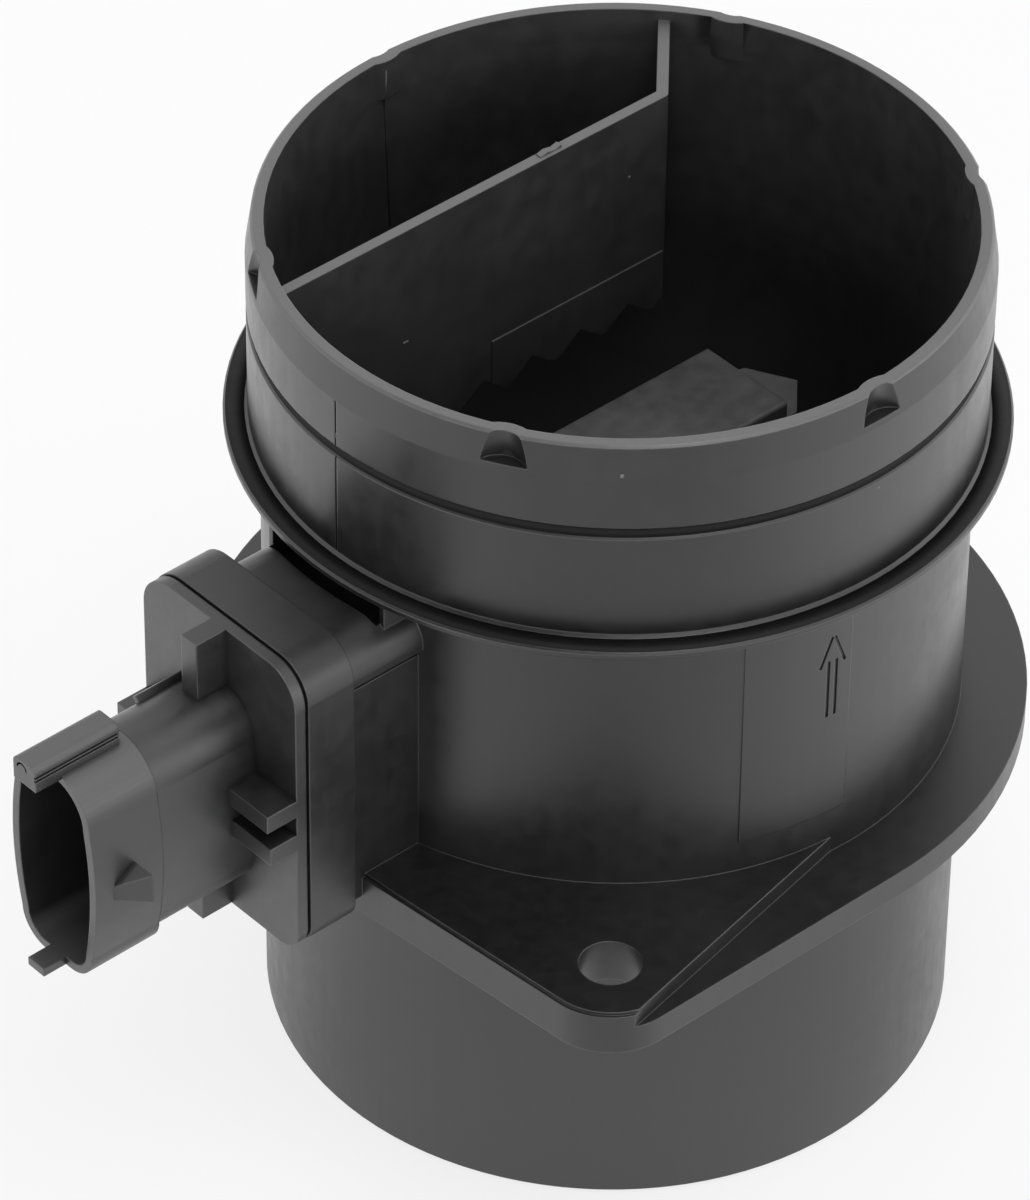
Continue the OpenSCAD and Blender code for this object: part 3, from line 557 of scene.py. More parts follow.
@dataclass(frozen=True)
class MouldedPlastic(Finish):
    """Black glass-filled plastic, satin from a fine mould texture, a little polished at its edges, with
    painted light and shade.
    """

    colour: Colour
    faded: Colour
    roughness: float = 0.36
    patches: float = 0.045
    shine: float = 0.78
    grain: float = 0.3 * MM
    relief: Relief = Relief(0.5, 0.02 * MM)
    fine_relief: float = 0.8
    drag_relief: float = 0.06
    drag_roughness: float = 0.03
    draw: Draw = Draw.UP
    edge: float = 0.25 * MM
    # Outer edges are lightened: partly edge wear, partly a painted highlight.
    edge_light: float = 0.55
    edge_polish: float = 0.06
    edge_highlight_and_wear: Colour = (0.085, 0.085, 0.087)
    fillet: float = 0.0
    # Painted shade: inner corners take a darker colour.
    corner_shade: float = 0.8
    corner_tone: float = 0.3
    specks: float = 1.0
    speck_colour: Colour = (0.32, 0.32, 0.31)
    # Painted light: faces inside the duct take a lighter colour, since the lamps barely reach them.
    core_reach: float = 0.0
    painted_light_core: Colour = (0.016, 0.016, 0.0165)
    core_roughness: float = 0.08
    core_clouds: float = 1.6
    # Painted light from above: faces that look up, above this level and beyond this reach, take a lighter
    # colour.
    top_light_level: float = 1.0
    top_light_reach: float = 0.0
    crown: Colour = (0.09, 0.09, 0.0905)

    def paint(self, graph: Graph, shader: Node) -> None:
        """Wires colour, gloss and relief.

        Args:
            graph: the material's tree.
            shader: its Principled BSDF node.
        """
        edges = EdgesAndCorners().use(graph, Radius=self.edge, Fillet=self.fillet)
        x, y, z = self.draw.value
        skin = MouldGrain().use(graph, Pitch=self.grain, **{"Along X": x, "Along Y": y, "Along Z": z})
        speck = Lint().use(graph, Amount=self.specks).outputs["Speck"]
        cloud, drag, fine = (skin.outputs[name] for name in ("Cloud", "Drag", "Fine"))

        # Painted light: faces inside the duct take a lighter colour.
        painted_light_core = Inside().use(graph, Reach=self.core_reach).outputs["Inside"]
        dark = graph.tint(painted_light_core, self.colour, self.painted_light_core)
        light = graph.tint(painted_light_core, self.faded, tuple(self.core_clouds * c for c in self.painted_light_core))
        tone = graph.tint(cloud, dark, light)
        # Painted light from above: faces that look up take a lighter colour.
        crown = Crown().use(graph, Level=self.top_light_level, Reach=self.top_light_reach).outputs["Crown"]
        tone = graph.tint(crown, tone, self.crown)
        # Outer edges lighten: partly edge wear, partly a painted highlight.
        edge_lightening = graph.math("MULTIPLY", edges.outputs["Edge"], self.edge_light)
        tone = graph.tint(edge_lightening, tone, self.edge_highlight_and_wear)
        # Painted shade: inner corners darken.
        corner_painted_shade = graph.math("MULTIPLY", edges.outputs["Corner"], self.corner_shade)
        tone = graph.tint(corner_painted_shade, tone, tuple(self.corner_tone * c for c in self.colour))
        graph.put(shader.inputs["Base Color"], graph.tint(speck, tone, self.speck_colour))

        gloss = graph.spread(cloud, 0.0, 1.0, self.roughness - self.patches, self.roughness + self.patches)
        gloss = graph.math("MULTIPLY_ADD", drag, self.drag_roughness, gloss)
        gloss = graph.math("MULTIPLY_ADD", edges.outputs["Edge"], -self.edge_polish, gloss)
        gloss = graph.math("MULTIPLY_ADD", painted_light_core, self.core_roughness, gloss)
        graph.put(shader.inputs["Roughness"], gloss)

        dragged = graph.math("MULTIPLY", drag, self.drag_relief)
        height = graph.math("MULTIPLY_ADD", fine, self.fine_relief, dragged)
        self.relief.wire(graph, shader, height, edges.outputs["Normal"])
        shader.inputs["Specular IOR Level"].default_value = self.shine


@dataclass(frozen=True)
class Rubber(Finish):
    """Moulded silicone seal: matt, slightly cloudy, with a film of grease in places."""

    colour: Colour = (0.022, 0.022, 0.024)
    bloomed: Colour = (0.05, 0.05, 0.052)
    roughness: float = 0.72
    greased: float = 0.48
    grease: Mottle = Mottle(240.0, 0.4, 0.6)
    bloom: Mottle = Mottle(900.0, 0.35, 0.7, 4.0, 0.65)
    relief: Relief = Relief(0.35, 0.02 * MM)

    def paint(self, graph: Graph, shader: Node) -> None:
        """Wires colour, gloss and relief.

        Args:
            graph: the material's tree.
            shader: its Principled BSDF node.
        """
        place = graph.place()
        grease = self.grease.wire(graph, place)
        bloom = self.bloom.wire(graph, place)
        graph.put(shader.inputs["Base Color"], graph.tint(bloom, self.colour, self.bloomed))
        graph.put(shader.inputs["Roughness"], graph.spread(grease, 0.0, 1.0, self.roughness, self.greased))
        self.relief.wire(graph, shader, bloom)


@dataclass(frozen=True)
class Metal(Finish):
    """Bright or plated metal with the fine lines that rolling, drawing or stamping leaves."""

    colour: Colour
    roughness: float
    lines: tuple[float, float, float]
    tarnish: Colour
    edge: float = 0.08 * MM
    polished: Colour = (0.9, 0.89, 0.87)
    line_octaves: tuple[float, float, float] = (1.0, 3.0, 0.6)
    line_range: Span = (0.3, 0.7)
    line_gloss: Span = (-0.07, 0.1)
    stain: Mottle = Mottle(600.0, 0.48, 0.72, 4.0, 0.6)
    stain_share: float = 0.55
    stain_gloss: float = 0.12
    edge_share: float = 0.4
    relief: Relief = Relief(0.3, 0.01 * MM)

    def paint(self, graph: Graph, shader: Node) -> None:
        """Wires colour, gloss and relief.

        Args:
            graph: the material's tree.
            shader: its Principled BSDF node.
        """
        place = graph.place()
        edges = EdgesAndCorners().use(graph, Radius=self.edge)
        brushed = graph.noise(graph.stretch(place, self.lines), *self.line_octaves)
        stain = self.stain.wire(graph, place)
        tone = graph.tint(graph.math("MULTIPLY", stain, self.stain_share), self.colour, self.tarnish)
        edge_lightening = graph.math("MULTIPLY", edges.outputs["Edge"], self.edge_share)
        graph.put(shader.inputs["Base Color"], graph.tint(edge_lightening, tone, self.polished))
        ends = [self.roughness + change for change in self.line_gloss]
        gloss = graph.spread(brushed, *self.line_range, *ends)
        graph.put(shader.inputs["Roughness"], graph.math("MULTIPLY_ADD", stain, self.stain_gloss, gloss))
        self.relief.wire(graph, shader, brushed, edges.outputs["Normal"])
        shader.inputs["Metallic"].default_value = 1.0


@dataclass(frozen=True)
class Ceramic(Finish):
    """Fired alumina with printed tracks and resistors on it."""

    colour: Colour = (0.68, 0.66, 0.60)
    track: Colour = (0.42, 0.40, 0.36)
    resistor: Colour = (0.03, 0.035, 0.03)
    shade: Colour = (0.52, 0.5, 0.45)
    layout: tuple[float, float, float] = (420.0, 1.0, 420.0)
    brick: Span = (1.3, 0.5)
    track_width: float = 0.06
    track_share: float = 0.85
    printed_blocks: Span = (0.86, 0.88)
    mottle: Mottle = Mottle(2400.0, 0.35, 0.65, 4.0, 0.6)
    mottle_share: float = 0.3
    mottle_relief: float = 0.2
    gloss: Span = (0.42, 0.6)
    relief: Relief = Relief(0.4, 0.02 * MM)

    def paint(self, graph: Graph, shader: Node) -> None:
        """Wires colour, gloss and relief.

        Args:
            graph: the material's tree.
            shader: its Principled BSDF node.
        """
        place = graph.place()
        width, height = self.brick
        blocks = graph.add("ShaderNodeTexBrick", {
            "Vector": graph.stretch(place, self.layout), "Color1": (0, 0, 0, 1), "Color2": (1, 1, 1, 1),
            "Mortar": (0.5, 0.5, 0.5, 1), "Scale": 1.0, "Mortar Size": self.track_width,
            "Brick Width": width, "Row Height": height})
        printed = graph.spread(blocks.outputs["Color"], *self.printed_blocks)
        mottle = self.mottle.wire(graph, place)
        tone = graph.tint(graph.math("MULTIPLY", mottle, self.mottle_share), self.colour, self.shade)
        tone = graph.tint(graph.math("MULTIPLY", blocks.outputs["Fac"], self.track_share), tone, self.track)
        graph.put(shader.inputs["Base Color"], graph.tint(printed, tone, self.resistor))
        graph.put(shader.inputs["Roughness"], graph.spread(mottle, 0.0, 1.0, *self.gloss))
        self.relief.wire(graph, shader, graph.math("MULTIPLY_ADD", mottle, self.mottle_relief, printed))


@dataclass(frozen=True)
class Banded(Finish):
    """A small chip part: a dull body with plated ends, banded across its length."""

    colour: Colour
    ends: Colour
    middle: float
    half: float
    plating: Span = (0.62, 0.66)
    mottle: Mottle = Mottle(5200.0, 0.35, 0.65, 3.0, 0.6)
    mottle_share: float = 0.4
    mottle_tone: float = 0.6
    gloss: Span = (0.35, 0.5)
    relief: Relief = Relief(0.4, 0.01 * MM)

    def paint(self, graph: Graph, shader: Node) -> None:
        """Wires colour, gloss and relief.

        Args:
            graph: the material's tree.
            shader: its Principled BSDF node.
        """
        place = graph.place()
        along = graph.add("ShaderNodeSeparateXYZ", {0: place}).outputs[0]
        offset = graph.math("ABSOLUTE", graph.math("SUBTRACT", along, self.middle))
        plated = graph.spread(offset, *(share * self.half for share in self.plating))
        mottle = self.mottle.wire(graph, place)
        dull = tuple(self.mottle_tone * c for c in self.colour)
        body = graph.tint(graph.math("MULTIPLY", mottle, self.mottle_share), self.colour, dull)
        graph.put(shader.inputs["Base Color"], graph.tint(plated, body, self.ends))
        graph.put(shader.inputs["Metallic"], plated)
        graph.put(shader.inputs["Roughness"], graph.spread(mottle, 0.0, 1.0, *self.gloss))
        self.relief.wire(graph, shader, mottle)


@dataclass(frozen=True)
class Laminate(Finish):
    """Thin circuit laminate under a green solder resist, with the glass weave just showing."""

    colour: Colour = (0.02, 0.10, 0.045)
    paler: Colour = (0.035, 0.15, 0.07)
    glass: Colour = (0.1, 0.2, 0.1)
    glass_share: float = 0.2
    threads: float = 420.0
    waver: float = 0.4
    shade: Mottle = Mottle(700.0, 0.35, 0.65)
    shade_share: float = 0.5
    gloss: Span = (0.3, 0.42)
    relief: Relief = Relief(0.3, 0.02 * MM)
    coat: float = 0.3

    def paint(self, graph: Graph, shader: Node) -> None:
        """Wires colour, gloss and relief.

        Args:
            graph: the material's tree.
            shader: its Principled BSDF node.
        """
        place = graph.place()
        thread = {"Vector": place, "Scale": self.threads, "Distortion": self.waver}
        across, upward = (graph.add("ShaderNodeTexWave", thread, bands_direction=way).outputs["Fac"]
                          for way in ("X", "Z"))
        weave = graph.math("MULTIPLY", across, upward)
        shade = graph.math("MULTIPLY", self.shade.wire(graph, place), self.shade_share)
        tone = graph.tint(shade, self.colour, self.paler)
        showing = graph.math("MULTIPLY", weave, self.glass_share)
        graph.put(shader.inputs["Base Color"], graph.tint(showing, tone, self.glass))
        graph.put(shader.inputs["Roughness"], graph.spread(weave, 0.0, 1.0, *self.gloss))
        self.relief.wire(graph, shader, weave)
        shader.inputs["Coat Weight"].default_value = self.coat


@dataclass(frozen=True)
class Wafer(Finish):
    """A polished silicon chip with a thin-film heater square in its middle."""

    middle: Span
    half: float
    colour: Colour = (0.12, 0.13, 0.16)
    film: Colour = (0.34, 0.30, 0.38)
    track: Colour = (0.6, 0.52, 0.4)
    film_edge: float = 0.92
    tracks: float = 620.0
    track_edge: Span = (0.45, 0.55)
    track_share: float = 0.6
    haze: Mottle = Mottle(1500.0, 0.4, 0.6, 2.0)
    gloss: Span = (0.12, 0.22)
    metal: Span = (0.5, 0.75)
    relief: Relief = Relief(0.3, 0.005 * MM)

    def paint(self, graph: Graph, shader: Node) -> None:
        """Wires colour, gloss and relief.

        Args:
            graph: the material's tree.
            shader: its Principled BSDF node.
        """
        place = graph.place()
        axes = graph.add("ShaderNodeSeparateXYZ", {0: place})
        offsets = [graph.math("ABSOLUTE", graph.math("SUBTRACT", axes.outputs[axis], middle))
                   for axis, middle in zip((0, 2), self.middle)]
        inside = graph.spread(graph.math("MAXIMUM", *offsets), self.half, self.film_edge * self.half)
        wave = graph.add("ShaderNodeTexWave", {"Vector": place, "Scale": self.tracks}, bands_direction="Z")
        lines = graph.math("MULTIPLY", graph.spread(wave.outputs["Fac"], *self.track_edge), inside)
        haze = self.haze.wire(graph, place)
        tone = graph.tint(inside, self.colour, self.film)
        showing = graph.math("MULTIPLY", lines, self.track_share)
        graph.put(shader.inputs["Base Color"], graph.tint(showing, tone, self.track))
        graph.put(shader.inputs["Roughness"], graph.spread(haze, 0.0, 1.0, *self.gloss))
        graph.put(shader.inputs["Metallic"], graph.spread(inside, 0.0, 1.0, *self.metal))
        self.relief.wire(graph, shader, lines)


@dataclass(frozen=True)
class GlassBead(Finish):
    """A thermistor's dipped glass bead: dark green-brown glass over a grey core."""

    colour: Colour = (0.10, 0.13, 0.07)
    paler: Colour = (0.2, 0.22, 0.12)
    seeded: Colour = (0.5, 0.52, 0.4)
    seed_share: float = 0.4
    swirl: Mottle = Mottle(900.0, 0.3, 0.7, 3.0, 0.6)
    seeds: Mottle = Mottle(5200.0, 0.62, 0.7, 2.0)
    gloss: Span = (0.07, 0.16)
    relief: Relief = Relief(0.25, 0.03 * MM)
    coat: float = 0.6
    coat_roughness: float = 0.04

    def paint(self, graph: Graph, shader: Node) -> None:
        """Wires colour, gloss and relief.

        Args:
            graph: the material's tree.
            shader: its Principled BSDF node.
        """
        place = graph.place()
        swirl = self.swirl.wire(graph, place)
        seeds = graph.math("MULTIPLY", self.seeds.wire(graph, place), self.seed_share)
        tone = graph.tint(swirl, self.colour, self.paler)
        graph.put(shader.inputs["Base Color"], graph.tint(seeds, tone, self.seeded))
        graph.put(shader.inputs["Roughness"], graph.spread(swirl, 0.0, 1.0, *self.gloss))
        self.relief.wire(graph, shader, swirl)
        shader.inputs["Coat Weight"].default_value = self.coat
        shader.inputs["Coat Roughness"].default_value = self.coat_roughness


# Mesh work


def finished_piece(name: str, mesh: bmesh.types.BMesh, material: bpy.types.Material) -> None:
    """Turns mesh work into an object at the origin, which rides on the part.

    Args:
        name: the piece's name.
        mesh: the mesh, in metres and in place. It is freed here.
        material: the finish.
    """
    bmesh.ops.remove_doubles(mesh, verts=mesh.verts, dist=SAME_PLACE)
    bmesh.ops.recalc_face_normals(mesh, faces=mesh.faces)
    data = bpy.data.meshes.new(name)
    mesh.to_mesh(data)
    mesh.free()
    for polygon in data.polygons:
        polygon.use_smooth = True
    data.materials.append(material)
    made = bpy.data.objects.new(name, data)
    bpy.context.scene.collection.objects.link(made)
    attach(made, "root")
    LOG.info("%s: %d faces", name, len(data.polygons))


def soften(mesh: bmesh.types.BMesh, factor: float) -> None:
    """Evens out a mesh's points.

    Args:
        mesh: the mesh.
        factor: how far each point moves to the middle of its neighbours.
    """
    bmesh.ops.smooth_vert(mesh, verts=mesh.verts, factor=factor, use_axis_x=True, use_axis_y=True,
                          use_axis_z=True)


def rounded_block(size: Vector, round_off: float, segments: int = 3) -> bmesh.types.BMesh:
    """Makes a block with rounded edges around the origin.

    Args:
        size: its length along X, Y and Z.
        round_off: the radius of its edges.
        segments: how many faces each rounded edge has.

    Returns:
        The new mesh.
    """
    mesh = bmesh.new()
    bmesh.ops.create_cube(mesh, size=1.0, matrix=Matrix.Diagonal(size.to_4d()))
    bmesh.ops.bevel(mesh, geom=mesh.edges[:], offset=round_off, offset_type="OFFSET", affect="EDGES",
                    segments=segments, profile=0.5, material=-1, clamp_overlap=True)
    return mesh


# The part


@dataclass
class Part:
    """A sub-assembly: the CAD nodes that belong to it and the pieces that Blender adds."""

    finishes: dict[Slot, bpy.types.Material]
    nodes: tuple[str, ...] = ()

    def dress(self) -> None:
        """Gives every material slot of the sub-assembly's nodes its finish."""
        for name in self.nodes:
            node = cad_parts[name]
            for place in node.material_slots:
                slot = Slot(place.material.name.split(".")[0])
                place.material = self.finishes[slot]
            LOG.info("%s: dressed as %s", name, slot.value)

    def build(self) -> None:
        """Builds the sub-assembly, which has no piece of Blender's own unless its class adds one."""
        self.dress()


@dataclass
class Housing(Part):
    """The duct: one moulding, with the marks that its mould left, dark bands of painted shade, and pale
    flecks that paint glints.
    """

    nodes: tuple[str, ...] = ("housing",)
    divider_top: float = 112.9 * MM
    divider_y: float = 16.0 * MM
    divider_half: float = 0.7 * MM
    gate_x: float = 3.3 * MM
    gate_size: Vector = field(default_factory=lambda: Vector((3.4, 0.9, 0.36)) * MM)
    gate_round: float = 0.1 * MM
    gate_offset: float = 0.25 * MM
    gate_waves: tuple[float, float, float, float] = (9.0, 41.0, 3.0, 31.0)
    gate_tear: Span = (0.3, 0.08)
    gate_softness: float = 0.3
    pip_x: float = -19.5 * MM
    pip_z: float = 97.0 * MM
    pip_size: Vector = field(default_factory=lambda: Vector((0.9, 0.24, 0.34)) * MM)
    pip_round: float = 0.08 * MM
    line_x: float = -0.6 * MM
    line_width: float = 0.24 * MM
    line_sides: int = 10
    band_steps: int = 192
    fleck_waves: tuple[float, float, float, float] = (7.0, 2.0, 9.0, 13.0)
    fleck_tear: float = 0.16
    fleck_softness: float = 0.4
    line_path: tuple[Span, ...] = (
        (40.5 * MM, 113.0 * MM), (40.5 * MM, 109.6 * MM), (40.78 * MM, 107.0 * MM), (39.9 * MM, 90.6 * MM))
    # A pale finish whose colour paints glints on the flecks and the pip.
    flash: Finish = MouldedPlastic(Slot.HOUSING, (0.07, 0.07, 0.071), (0.15, 0.15, 0.151), roughness=0.5,
                                   specks=0.0)
    # A dark, dull finish for bands of painted shade under the barb and on the bead's top.
    shade_band_finish: Finish = MouldedPlastic(Slot.HOUSING, (0.004, 0.004, 0.0042), (0.007, 0.007, 0.0073),
                                  roughness=0.55, shine=0.22, specks=0.0)
    torn: bpy.types.Material = field(init=False)
    shaded: tuple[tuple[str, tuple[Span, ...]], ...] = (
        ("undercut_painted_shade", ((42.3, 101.85), (42.86, 101.85), (42.54, 102.22), (42.54, 103.3), (42.3, 103.3))),
        ("bead_painted_shade", ((43.3, 87.4), (45.72, 87.4), (45.72, 87.73), (43.3, 87.73))),
    )
    flecks: tuple[tuple[str, tuple, tuple, tuple], ...] = (
        ("fleck_seam", (-43.0, -0.05, 104.7), (-1.0, 0.0, 0.0), (0.34, 0.26, 0.9)),
        ("fleck_rim", (-28.89, -31.77, 110.65), (-0.66, -0.74, 0.14), (0.5, 0.36, 0.56)),
        ("fleck_divider", (15.23, 15.3, 103.87), (0.0, -1.0, 0.0), (0.44, 0.3, 0.4)),
    )

    def build(self) -> None:
        """Dresses the duct, adds the marks of its mould, and lays bands of painted shade round it."""
        super().build()
        self.torn = self.flash.material()
        # The bands take a dark finish that paints shade.
        shade_band_material = self.shade_band_finish.material()
        for name, profile in self.shaded:
            self.band(name, profile, shade_band_material)
        self.gate_mark()
        self.divider_pip()
        self.parting_line()
        for name, place, out, size in self.flecks:
            self.fleck(name, Vector(place) * MM, Vector(out), Vector(size) * MM)

    def gate_mark(self) -> None:
        """Builds the torn stub that the mould's gate left on the divider's top edge."""
        mesh = rounded_block(self.gate_size, self.gate_round)
        bmesh.ops.subdivide_edges(mesh, edges=mesh.edges[:], cuts=2, use_grid_fill=True)
        slow, quick, shift, sway = self.gate_waves
        tear_height, tear_width = self.gate_tear
        for vert in mesh.verts:
            along = vert.co.x / self.gate_size.x
            torn = math.sin(slow * along) * math.cos(quick * along + shift)
            vert.co.z += tear_height * self.gate_size.z * torn * (vert.co.z > 0.0)
            vert.co.y += tear_width * self.gate_size.y * math.sin(sway * along)
        soften(mesh, self.gate_softness)
        place = (self.gate_x, self.divider_y + self.gate_offset, self.divider_top)
        bmesh.ops.translate(mesh, verts=mesh.verts, vec=place)
        finished_piece("gate_mark", mesh, self.finishes[Slot.HOUSING])

    def divider_pip(self) -> None:
        """Builds the small raised pip on the face of the divider, pale to paint a glint on it."""
        mesh = rounded_block(self.pip_size, self.pip_round)
        face = self.divider_y - self.divider_half
        bmesh.ops.translate(mesh, verts=mesh.verts, vec=(self.pip_x, face, self.pip_z))
        finished_piece("divider_pip", mesh, self.torn)

    def parting_line(self) -> None:
        """Builds the hair-thin ridge that two halves of the core left up the inner wall."""
        mesh = bmesh.new()
        ring = bmesh.ops.create_circle(mesh, segments=self.line_sides, radius=self.line_width / 2)["verts"]
        bmesh.ops.translate(mesh, verts=ring, vec=(self.line_x, *self.line_path[0]))
        edges = mesh.edges[:]
        for (y, z), (last_y, last_z) in zip(self.line_path[1:], self.line_path):
            grown = bmesh.ops.extrude_edge_only(mesh, edges=edges)["geom"]
            edges = [item for item in grown if isinstance(item, bmesh.types.BMEdge)]
            verts = [item for item in grown if isinstance(item, bmesh.types.BMVert)]
            bmesh.ops.translate(mesh, verts=verts, vec=(0.0, y - last_y, z - last_z))
        bmesh.ops.holes_fill(mesh, edges=mesh.edges, sides=0)
        finished_piece("parting_line", mesh, self.finishes[Slot.HOUSING])

    def band(self, name: str, profile: tuple[Span, ...], shade_band_material: bpy.types.Material) -> None:
        """Builds a dark band of painted shade round the duct, by turning a small outline about its axis.

        Args:
            name: the piece's name.
            profile: the outline's radii and heights, in millimetres.
            shade_band_material: the band's material, dark and dull, which paints the shade.
        """
        mesh = bmesh.new()
        verts = [mesh.verts.new((radius * MM, 0.0, height * MM)) for radius, height in profile]
        outline = [mesh.edges.new((vert, after)) for vert, after in zip(verts, verts[1:] + verts[:1])]
        bmesh.ops.spin(mesh, geom=verts + outline, cent=(0.0, 0.0, 0.0), axis=(0.0, 0.0, 1.0),
                       angle=math.tau, steps=self.band_steps, use_merge=True)
        finished_piece(name, mesh, shade_band_material)

    def fleck(self, name: str, place: Vector, out: Vector, size: Vector) -> None:
        """Builds a torn flake of moulding flash, half sunk in a face, pale to paint a glint on it.

        Args:
            name: the piece's name.
            place: the point on the face.
            out: the way that the face looks.
            size: the flake's length along the face, its height, and its length up the face.
        """
        mesh = bmesh.new()
        bmesh.ops.create_icosphere(mesh, subdivisions=3, radius=0.5)
        along, shift, up, out_of_face = self.fleck_waves
        for vert in mesh.verts:
            x, y, z = vert.co
            torn = math.sin(along * x + shift) * math.cos(up * z) + math.sin(out_of_face * y)
            vert.co *= 1.0 + self.fleck_tear * torn
        soften(mesh, self.fleck_softness)
        turned = out.to_track_quat("Y", "Z").to_matrix().to_4x4()
        bmesh.ops.transform(mesh, verts=mesh.verts,
                            matrix=Matrix.Translation(place) @ turned @ Matrix.Diagonal(size.to_4d()))
        finished_piece(name, mesh, self.torn)


@dataclass
class PlugInSensor(Part):
    """The sensor insert: body, covers, seal, and the circuit behind them."""

    nodes: tuple[str, ...] = ("sensor_body", "electronics_cover", "bypass_cover", "seal_ring", "base_plate",
                              "circuit_board", "signal_chip", "capacitor_a", "capacitor_b", "chip_carrier",
                              "sensing_chip", "temp_bead", "temp_lead_a", "temp_lead_b")


@dataclass
class Connector(Part):
    """The five flat contacts inside the plug's shroud."""

    nodes: tuple[str, ...] = ("terminal_1", "terminal_2", "terminal_3", "terminal_4", "terminal_5")


# The studio


@dataclass(frozen=True)
class Softbox:
    """A soft rectangular lamp that looks at the part's middle."""

    name: str
    azimuth: float
    elevation: float
    distance: float
    width: float
    height: float
    power: float

    def build(self, target: Vector) -> None:
        """Hangs the lamp.

        Args:
            target: the point that it looks at.
        """
        turn, rise = math.radians(self.azimuth), math.radians(self.elevation)
        away = Vector((math.cos(turn) * math.cos(rise), math.sin(turn) * math.cos(rise), math.sin(rise)))
        data = bpy.data.lights.new(self.name, "AREA")
        data.shape = "RECTANGLE"
        data.size, data.size_y = self.width, self.height
        data.energy = self.power
        lamp = bpy.data.objects.new(self.name, data)
        turned = away.to_track_quat("Z", "Y").to_matrix().to_4x4()
        lamp.matrix_world = Matrix.Translation(target + self.distance * away) @ turned
        lamp.visible_camera = False
        bpy.context.scene.collection.objects.link(lamp)


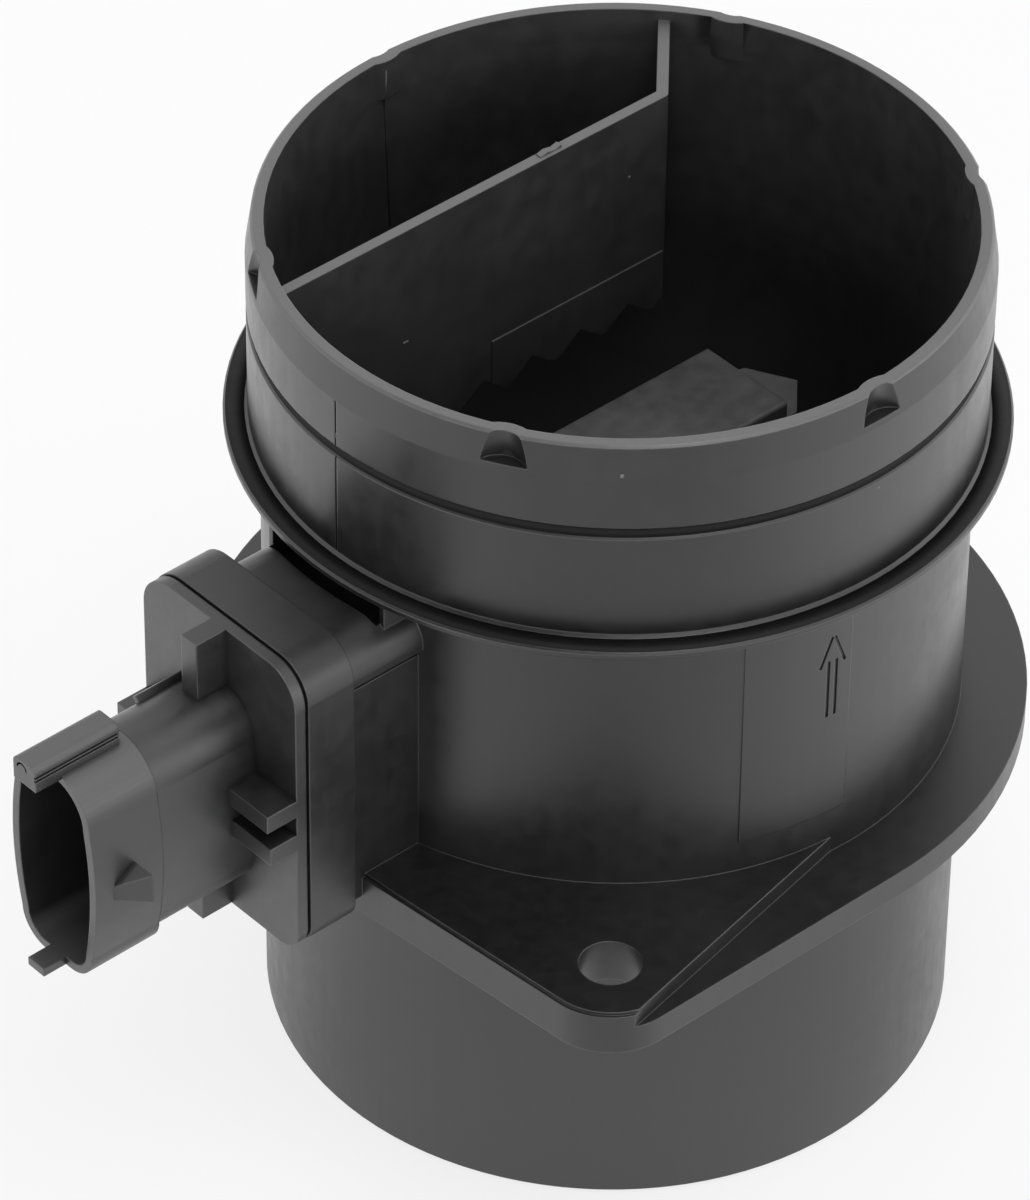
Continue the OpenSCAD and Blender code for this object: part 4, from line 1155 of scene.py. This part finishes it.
@dataclass
class Studio:
    """A white floor, a pale room and soft lamps around the part."""

    floor_size: float = 6.0
    floor_colour: Colour = (0.82, 0.82, 0.82)
    glow: float = 0.78
    foot: float = 41.0 * MM
    sheen: Span = (1.0, 1.45)
    sheen_reach: Span = (70.0 * MM, 130.0 * MM)
    front: float = 228.0
    front_edge: Span = (0.5, 0.95)
    front_sheen: Span = (1.2, 0.75)
    walls: Span = (1.2, 2.1)
    window: float = 270.0
    wall_top: Span = (0.36, 0.48)
    slope: float = 0.95
    dim: float = 210.0
    dim_edge: Span = (0.3, 0.75)
    dim_level: float = 0.05
    ceiling_edge: Span = (0.82, 0.92)
    ceiling: float = 1.0
    eye: Vector = field(default_factory=lambda: Vector((-451.2979, -482.2675, 605.3004)) * MM)
    azimuth: float = 227.91776
    elevation: float = 39.69364
    roll: float = 0.66198
    clip: Span = (0.01, 50.0)
    lens: float = 216.36
    film_height: float = 36.0
    lamps: tuple[Softbox, ...] = (
        Softbox("lamp_left", 184.0, 10.0, 0.9, 0.16, 0.5, 0.35),
        Softbox("lamp_right", 322.0, 10.0, 0.9, 0.16, 0.5, 0.35),
        Softbox("lamp_top", 258.0, 66.0, 1.0, 0.5, 0.5, 3.0),
    )

    def build(self) -> None:
        """Sets camera, floor, room light and lamps."""
        self.place_camera()
        self.lay_floor()
        self.light_room()
        low, high = CAD_BOX
        for lamp in self.lamps:
            lamp.build((Vector(low) + Vector(high)) / 2)
        LOG.info("studio: %d lamps", len(self.lamps))

    def place_camera(self) -> None:
        """Puts the camera where the photograph was taken from."""
        data = bpy.data.cameras.new("camera")
        data.sensor_fit = "VERTICAL"
        data.sensor_height = self.film_height
        data.lens = self.lens
        data.clip_start, data.clip_end = self.clip
        camera = bpy.data.objects.new("camera", data)
        placed = Matrix.Translation(self.eye)
        for angle, axis in ((self.azimuth + 90.0, "Z"), (90.0 - self.elevation, "X"), (self.roll, "Z")):
            placed = placed @ Matrix.Rotation(math.radians(angle), 4, axis)
        camera.matrix_world = placed
        bpy.context.scene.collection.objects.link(camera)
        bpy.context.scene.camera = camera
        bpy.context.scene.view_settings.view_transform = "Standard"

    def lay_floor(self) -> None:
        """Lays the white floor, which keeps the part's soft shadow."""
        mesh = bmesh.new()
        bmesh.ops.create_grid(mesh, x_segments=8, y_segments=8, size=self.floor_size / 2)
        bmesh.ops.translate(mesh, verts=mesh.verts, vec=(0.0, 0.0, Vector(CAD_BOX[0]).z))
        data = bpy.data.meshes.new("floor")
        mesh.to_mesh(data)
        mesh.free()
        data.materials.append(self.floor_material())
        floor = bpy.data.objects.new("floor", data)
        bpy.context.scene.collection.objects.link(floor)

    def floor_material(self) -> bpy.types.Material:
        """Builds the floor's finish: white paper that glows white to the camera and to gloss.

        Returns:
            The material.
        """
        made = bpy.data.materials.new("white_floor")
        made.use_nodes = True
        made.node_tree.nodes.clear()
        graph = Graph(made.node_tree)
        paper = graph.add("ShaderNodeBsdfDiffuse", {"Color": (*self.floor_colour, 1.0)})
        glow = graph.add("ShaderNodeEmission", {"Color": (1.0, 1.0, 1.0, 1.0), "Strength": 1.0})
        rays = graph.add("ShaderNodeLightPath").outputs
        mirrored = graph.math("MAXIMUM", rays["Is Glossy Ray"], rays["Is Transmission Ray"])
        graph.put(glow.inputs["Strength"], graph.blend(mirrored, 1.0, self.floor_sheen(graph)))
        seen = graph.math("MAXIMUM", rays["Is Camera Ray"], mirrored)
        under = Inside().use(graph, Reach=self.foot).outputs["Inside"]
        share = graph.math("MULTIPLY", graph.math("SUBTRACT", seen, under), self.glow)
        both = graph.add("ShaderNodeMixShader", {0: share, 1: paper.outputs[0], 2: glow.outputs[0]})
        graph.add("ShaderNodeOutputMaterial", {"Surface": both.outputs[0]})
        return made

    def floor_sheen(self, graph: Graph) -> Socket:
        """Says how bright gloss finds the floor: bright far from the part, but dim there in front of it.

        Args:
            graph: the floor's tree.

        Returns:
            The level.
        """
        flat = graph.level(graph.place())
        away = graph.length(flat)
        around = graph.spread(away, *self.sheen_reach, *self.sheen)
        ahead = graph.spread(away, *self.sheen_reach, *self.front_sheen)
        return graph.blend(graph.spread(graph.facing(flat, self.front), *self.front_edge), around, ahead)

    def light_room(self) -> None:
        """Lights the room: pale walls, a ceiling lamp, and a dim patch behind the camera."""
        world = bpy.data.worlds.new("room")
        world.use_nodes = True
        world.node_tree.nodes.clear()
        graph = Graph(world.node_tree)
        way = graph.add("ShaderNodeTexCoord").outputs["Generated"]
        height = graph.add("ShaderNodeSeparateXYZ", {0: way}).outputs["Z"]
        flat = graph.level(way)
        walls = graph.spread(graph.facing(flat, self.window), -1.0, 1.0, *self.walls)
        slope = graph.spread(graph.facing(flat, self.dim), *self.dim_edge, self.slope, self.dim_level)
        level = graph.blend(graph.spread(height, *self.wall_top), walls, slope)
        level = graph.blend(graph.spread(height, *self.ceiling_edge), level, self.ceiling)
        light = graph.add("ShaderNodeBackground", {"Color": (1.0, 1.0, 1.0, 1.0), "Strength": level})
        graph.add("ShaderNodeOutputWorld", {"Surface": light.outputs[0]})
        bpy.context.scene.world = world


def all_finishes() -> dict[Slot, bpy.types.Material]:
    """Builds every finish.

    Returns:
        The material of each slot.
    """
    chip_low, chip_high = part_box("sensing_chip")
    cap_low, cap_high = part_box("capacitor_a")
    chip_middle = (chip_low + chip_high) / 2
    finishes: tuple[Finish, ...] = (
        MouldedPlastic(Slot.HOUSING, (0.0052, 0.0052, 0.0056), (0.0088, 0.0088, 0.0093), core_reach=41.4 * MM,
                       fillet=0.75, top_light_level=112.6 * MM),
        MouldedPlastic(Slot.SENSOR, (0.008, 0.008, 0.0083), (0.014, 0.014, 0.0143), roughness=0.4, shine=0.95,
                       grain=0.24 * MM, draw=Draw.OUT, specks=0.6, core_reach=36.0 * MM,
                       painted_light_core=(0.034, 0.034, 0.0343), core_roughness=0.2,
                       core_clouds=2.2, top_light_level=0.0, top_light_reach=75.3 * MM, crown=(0.055, 0.055, 0.0555)),
        MouldedPlastic(Slot.COVER, (0.022, 0.022, 0.0225), (0.036, 0.036, 0.0365), roughness=0.42,
                       grain=0.22 * MM, draw=Draw.OUT, edge=0.15 * MM, specks=0.0),
        Rubber(Slot.SEAL),
        Metal(Slot.PLATE, (0.62, 0.63, 0.65), 0.34, (40.0, 40.0, 2400.0), (0.40, 0.40, 0.41)),
        Ceramic(Slot.BOARD),
        MouldedPlastic(Slot.CHIP, (0.018, 0.018, 0.018), (0.03, 0.03, 0.03), roughness=0.55,
                       grain=0.08 * MM, edge=0.05 * MM, specks=0.0),
        Banded(Slot.CAPACITOR, (0.36, 0.24, 0.13), (0.62, 0.61, 0.6), (cap_low.x + cap_high.x) / 2,
               (cap_high.x - cap_low.x) / 2),
        Laminate(Slot.CARRIER),
        Wafer(Slot.SILICON, (chip_middle.x, chip_middle.z), (chip_high.x - chip_low.x) / 4),
        GlassBead(Slot.BEAD),
        Metal(Slot.LEAD, (0.66, 0.65, 0.62), 0.3, (2400.0, 2400.0, 60.0), (0.42, 0.40, 0.36), edge=0.02 * MM),
        Metal(Slot.CONTACT, (0.66, 0.65, 0.62), 0.33, (60.0, 2400.0, 2400.0), (0.44, 0.42, 0.38)),
    )
    return {finish.slot: finish.material() for finish in finishes}


def main() -> None:
    """Builds the picture: finishes, the part's sub-assemblies, then the studio."""
    logging.basicConfig(level=logging.INFO, format="%(name)s: %(message)s")
    finishes = all_finishes()
    for part in (Housing(finishes), PlugInSensor(finishes), Connector(finishes)):
        part.build()
    Studio().build()


if __name__ == "__main__":
    main()
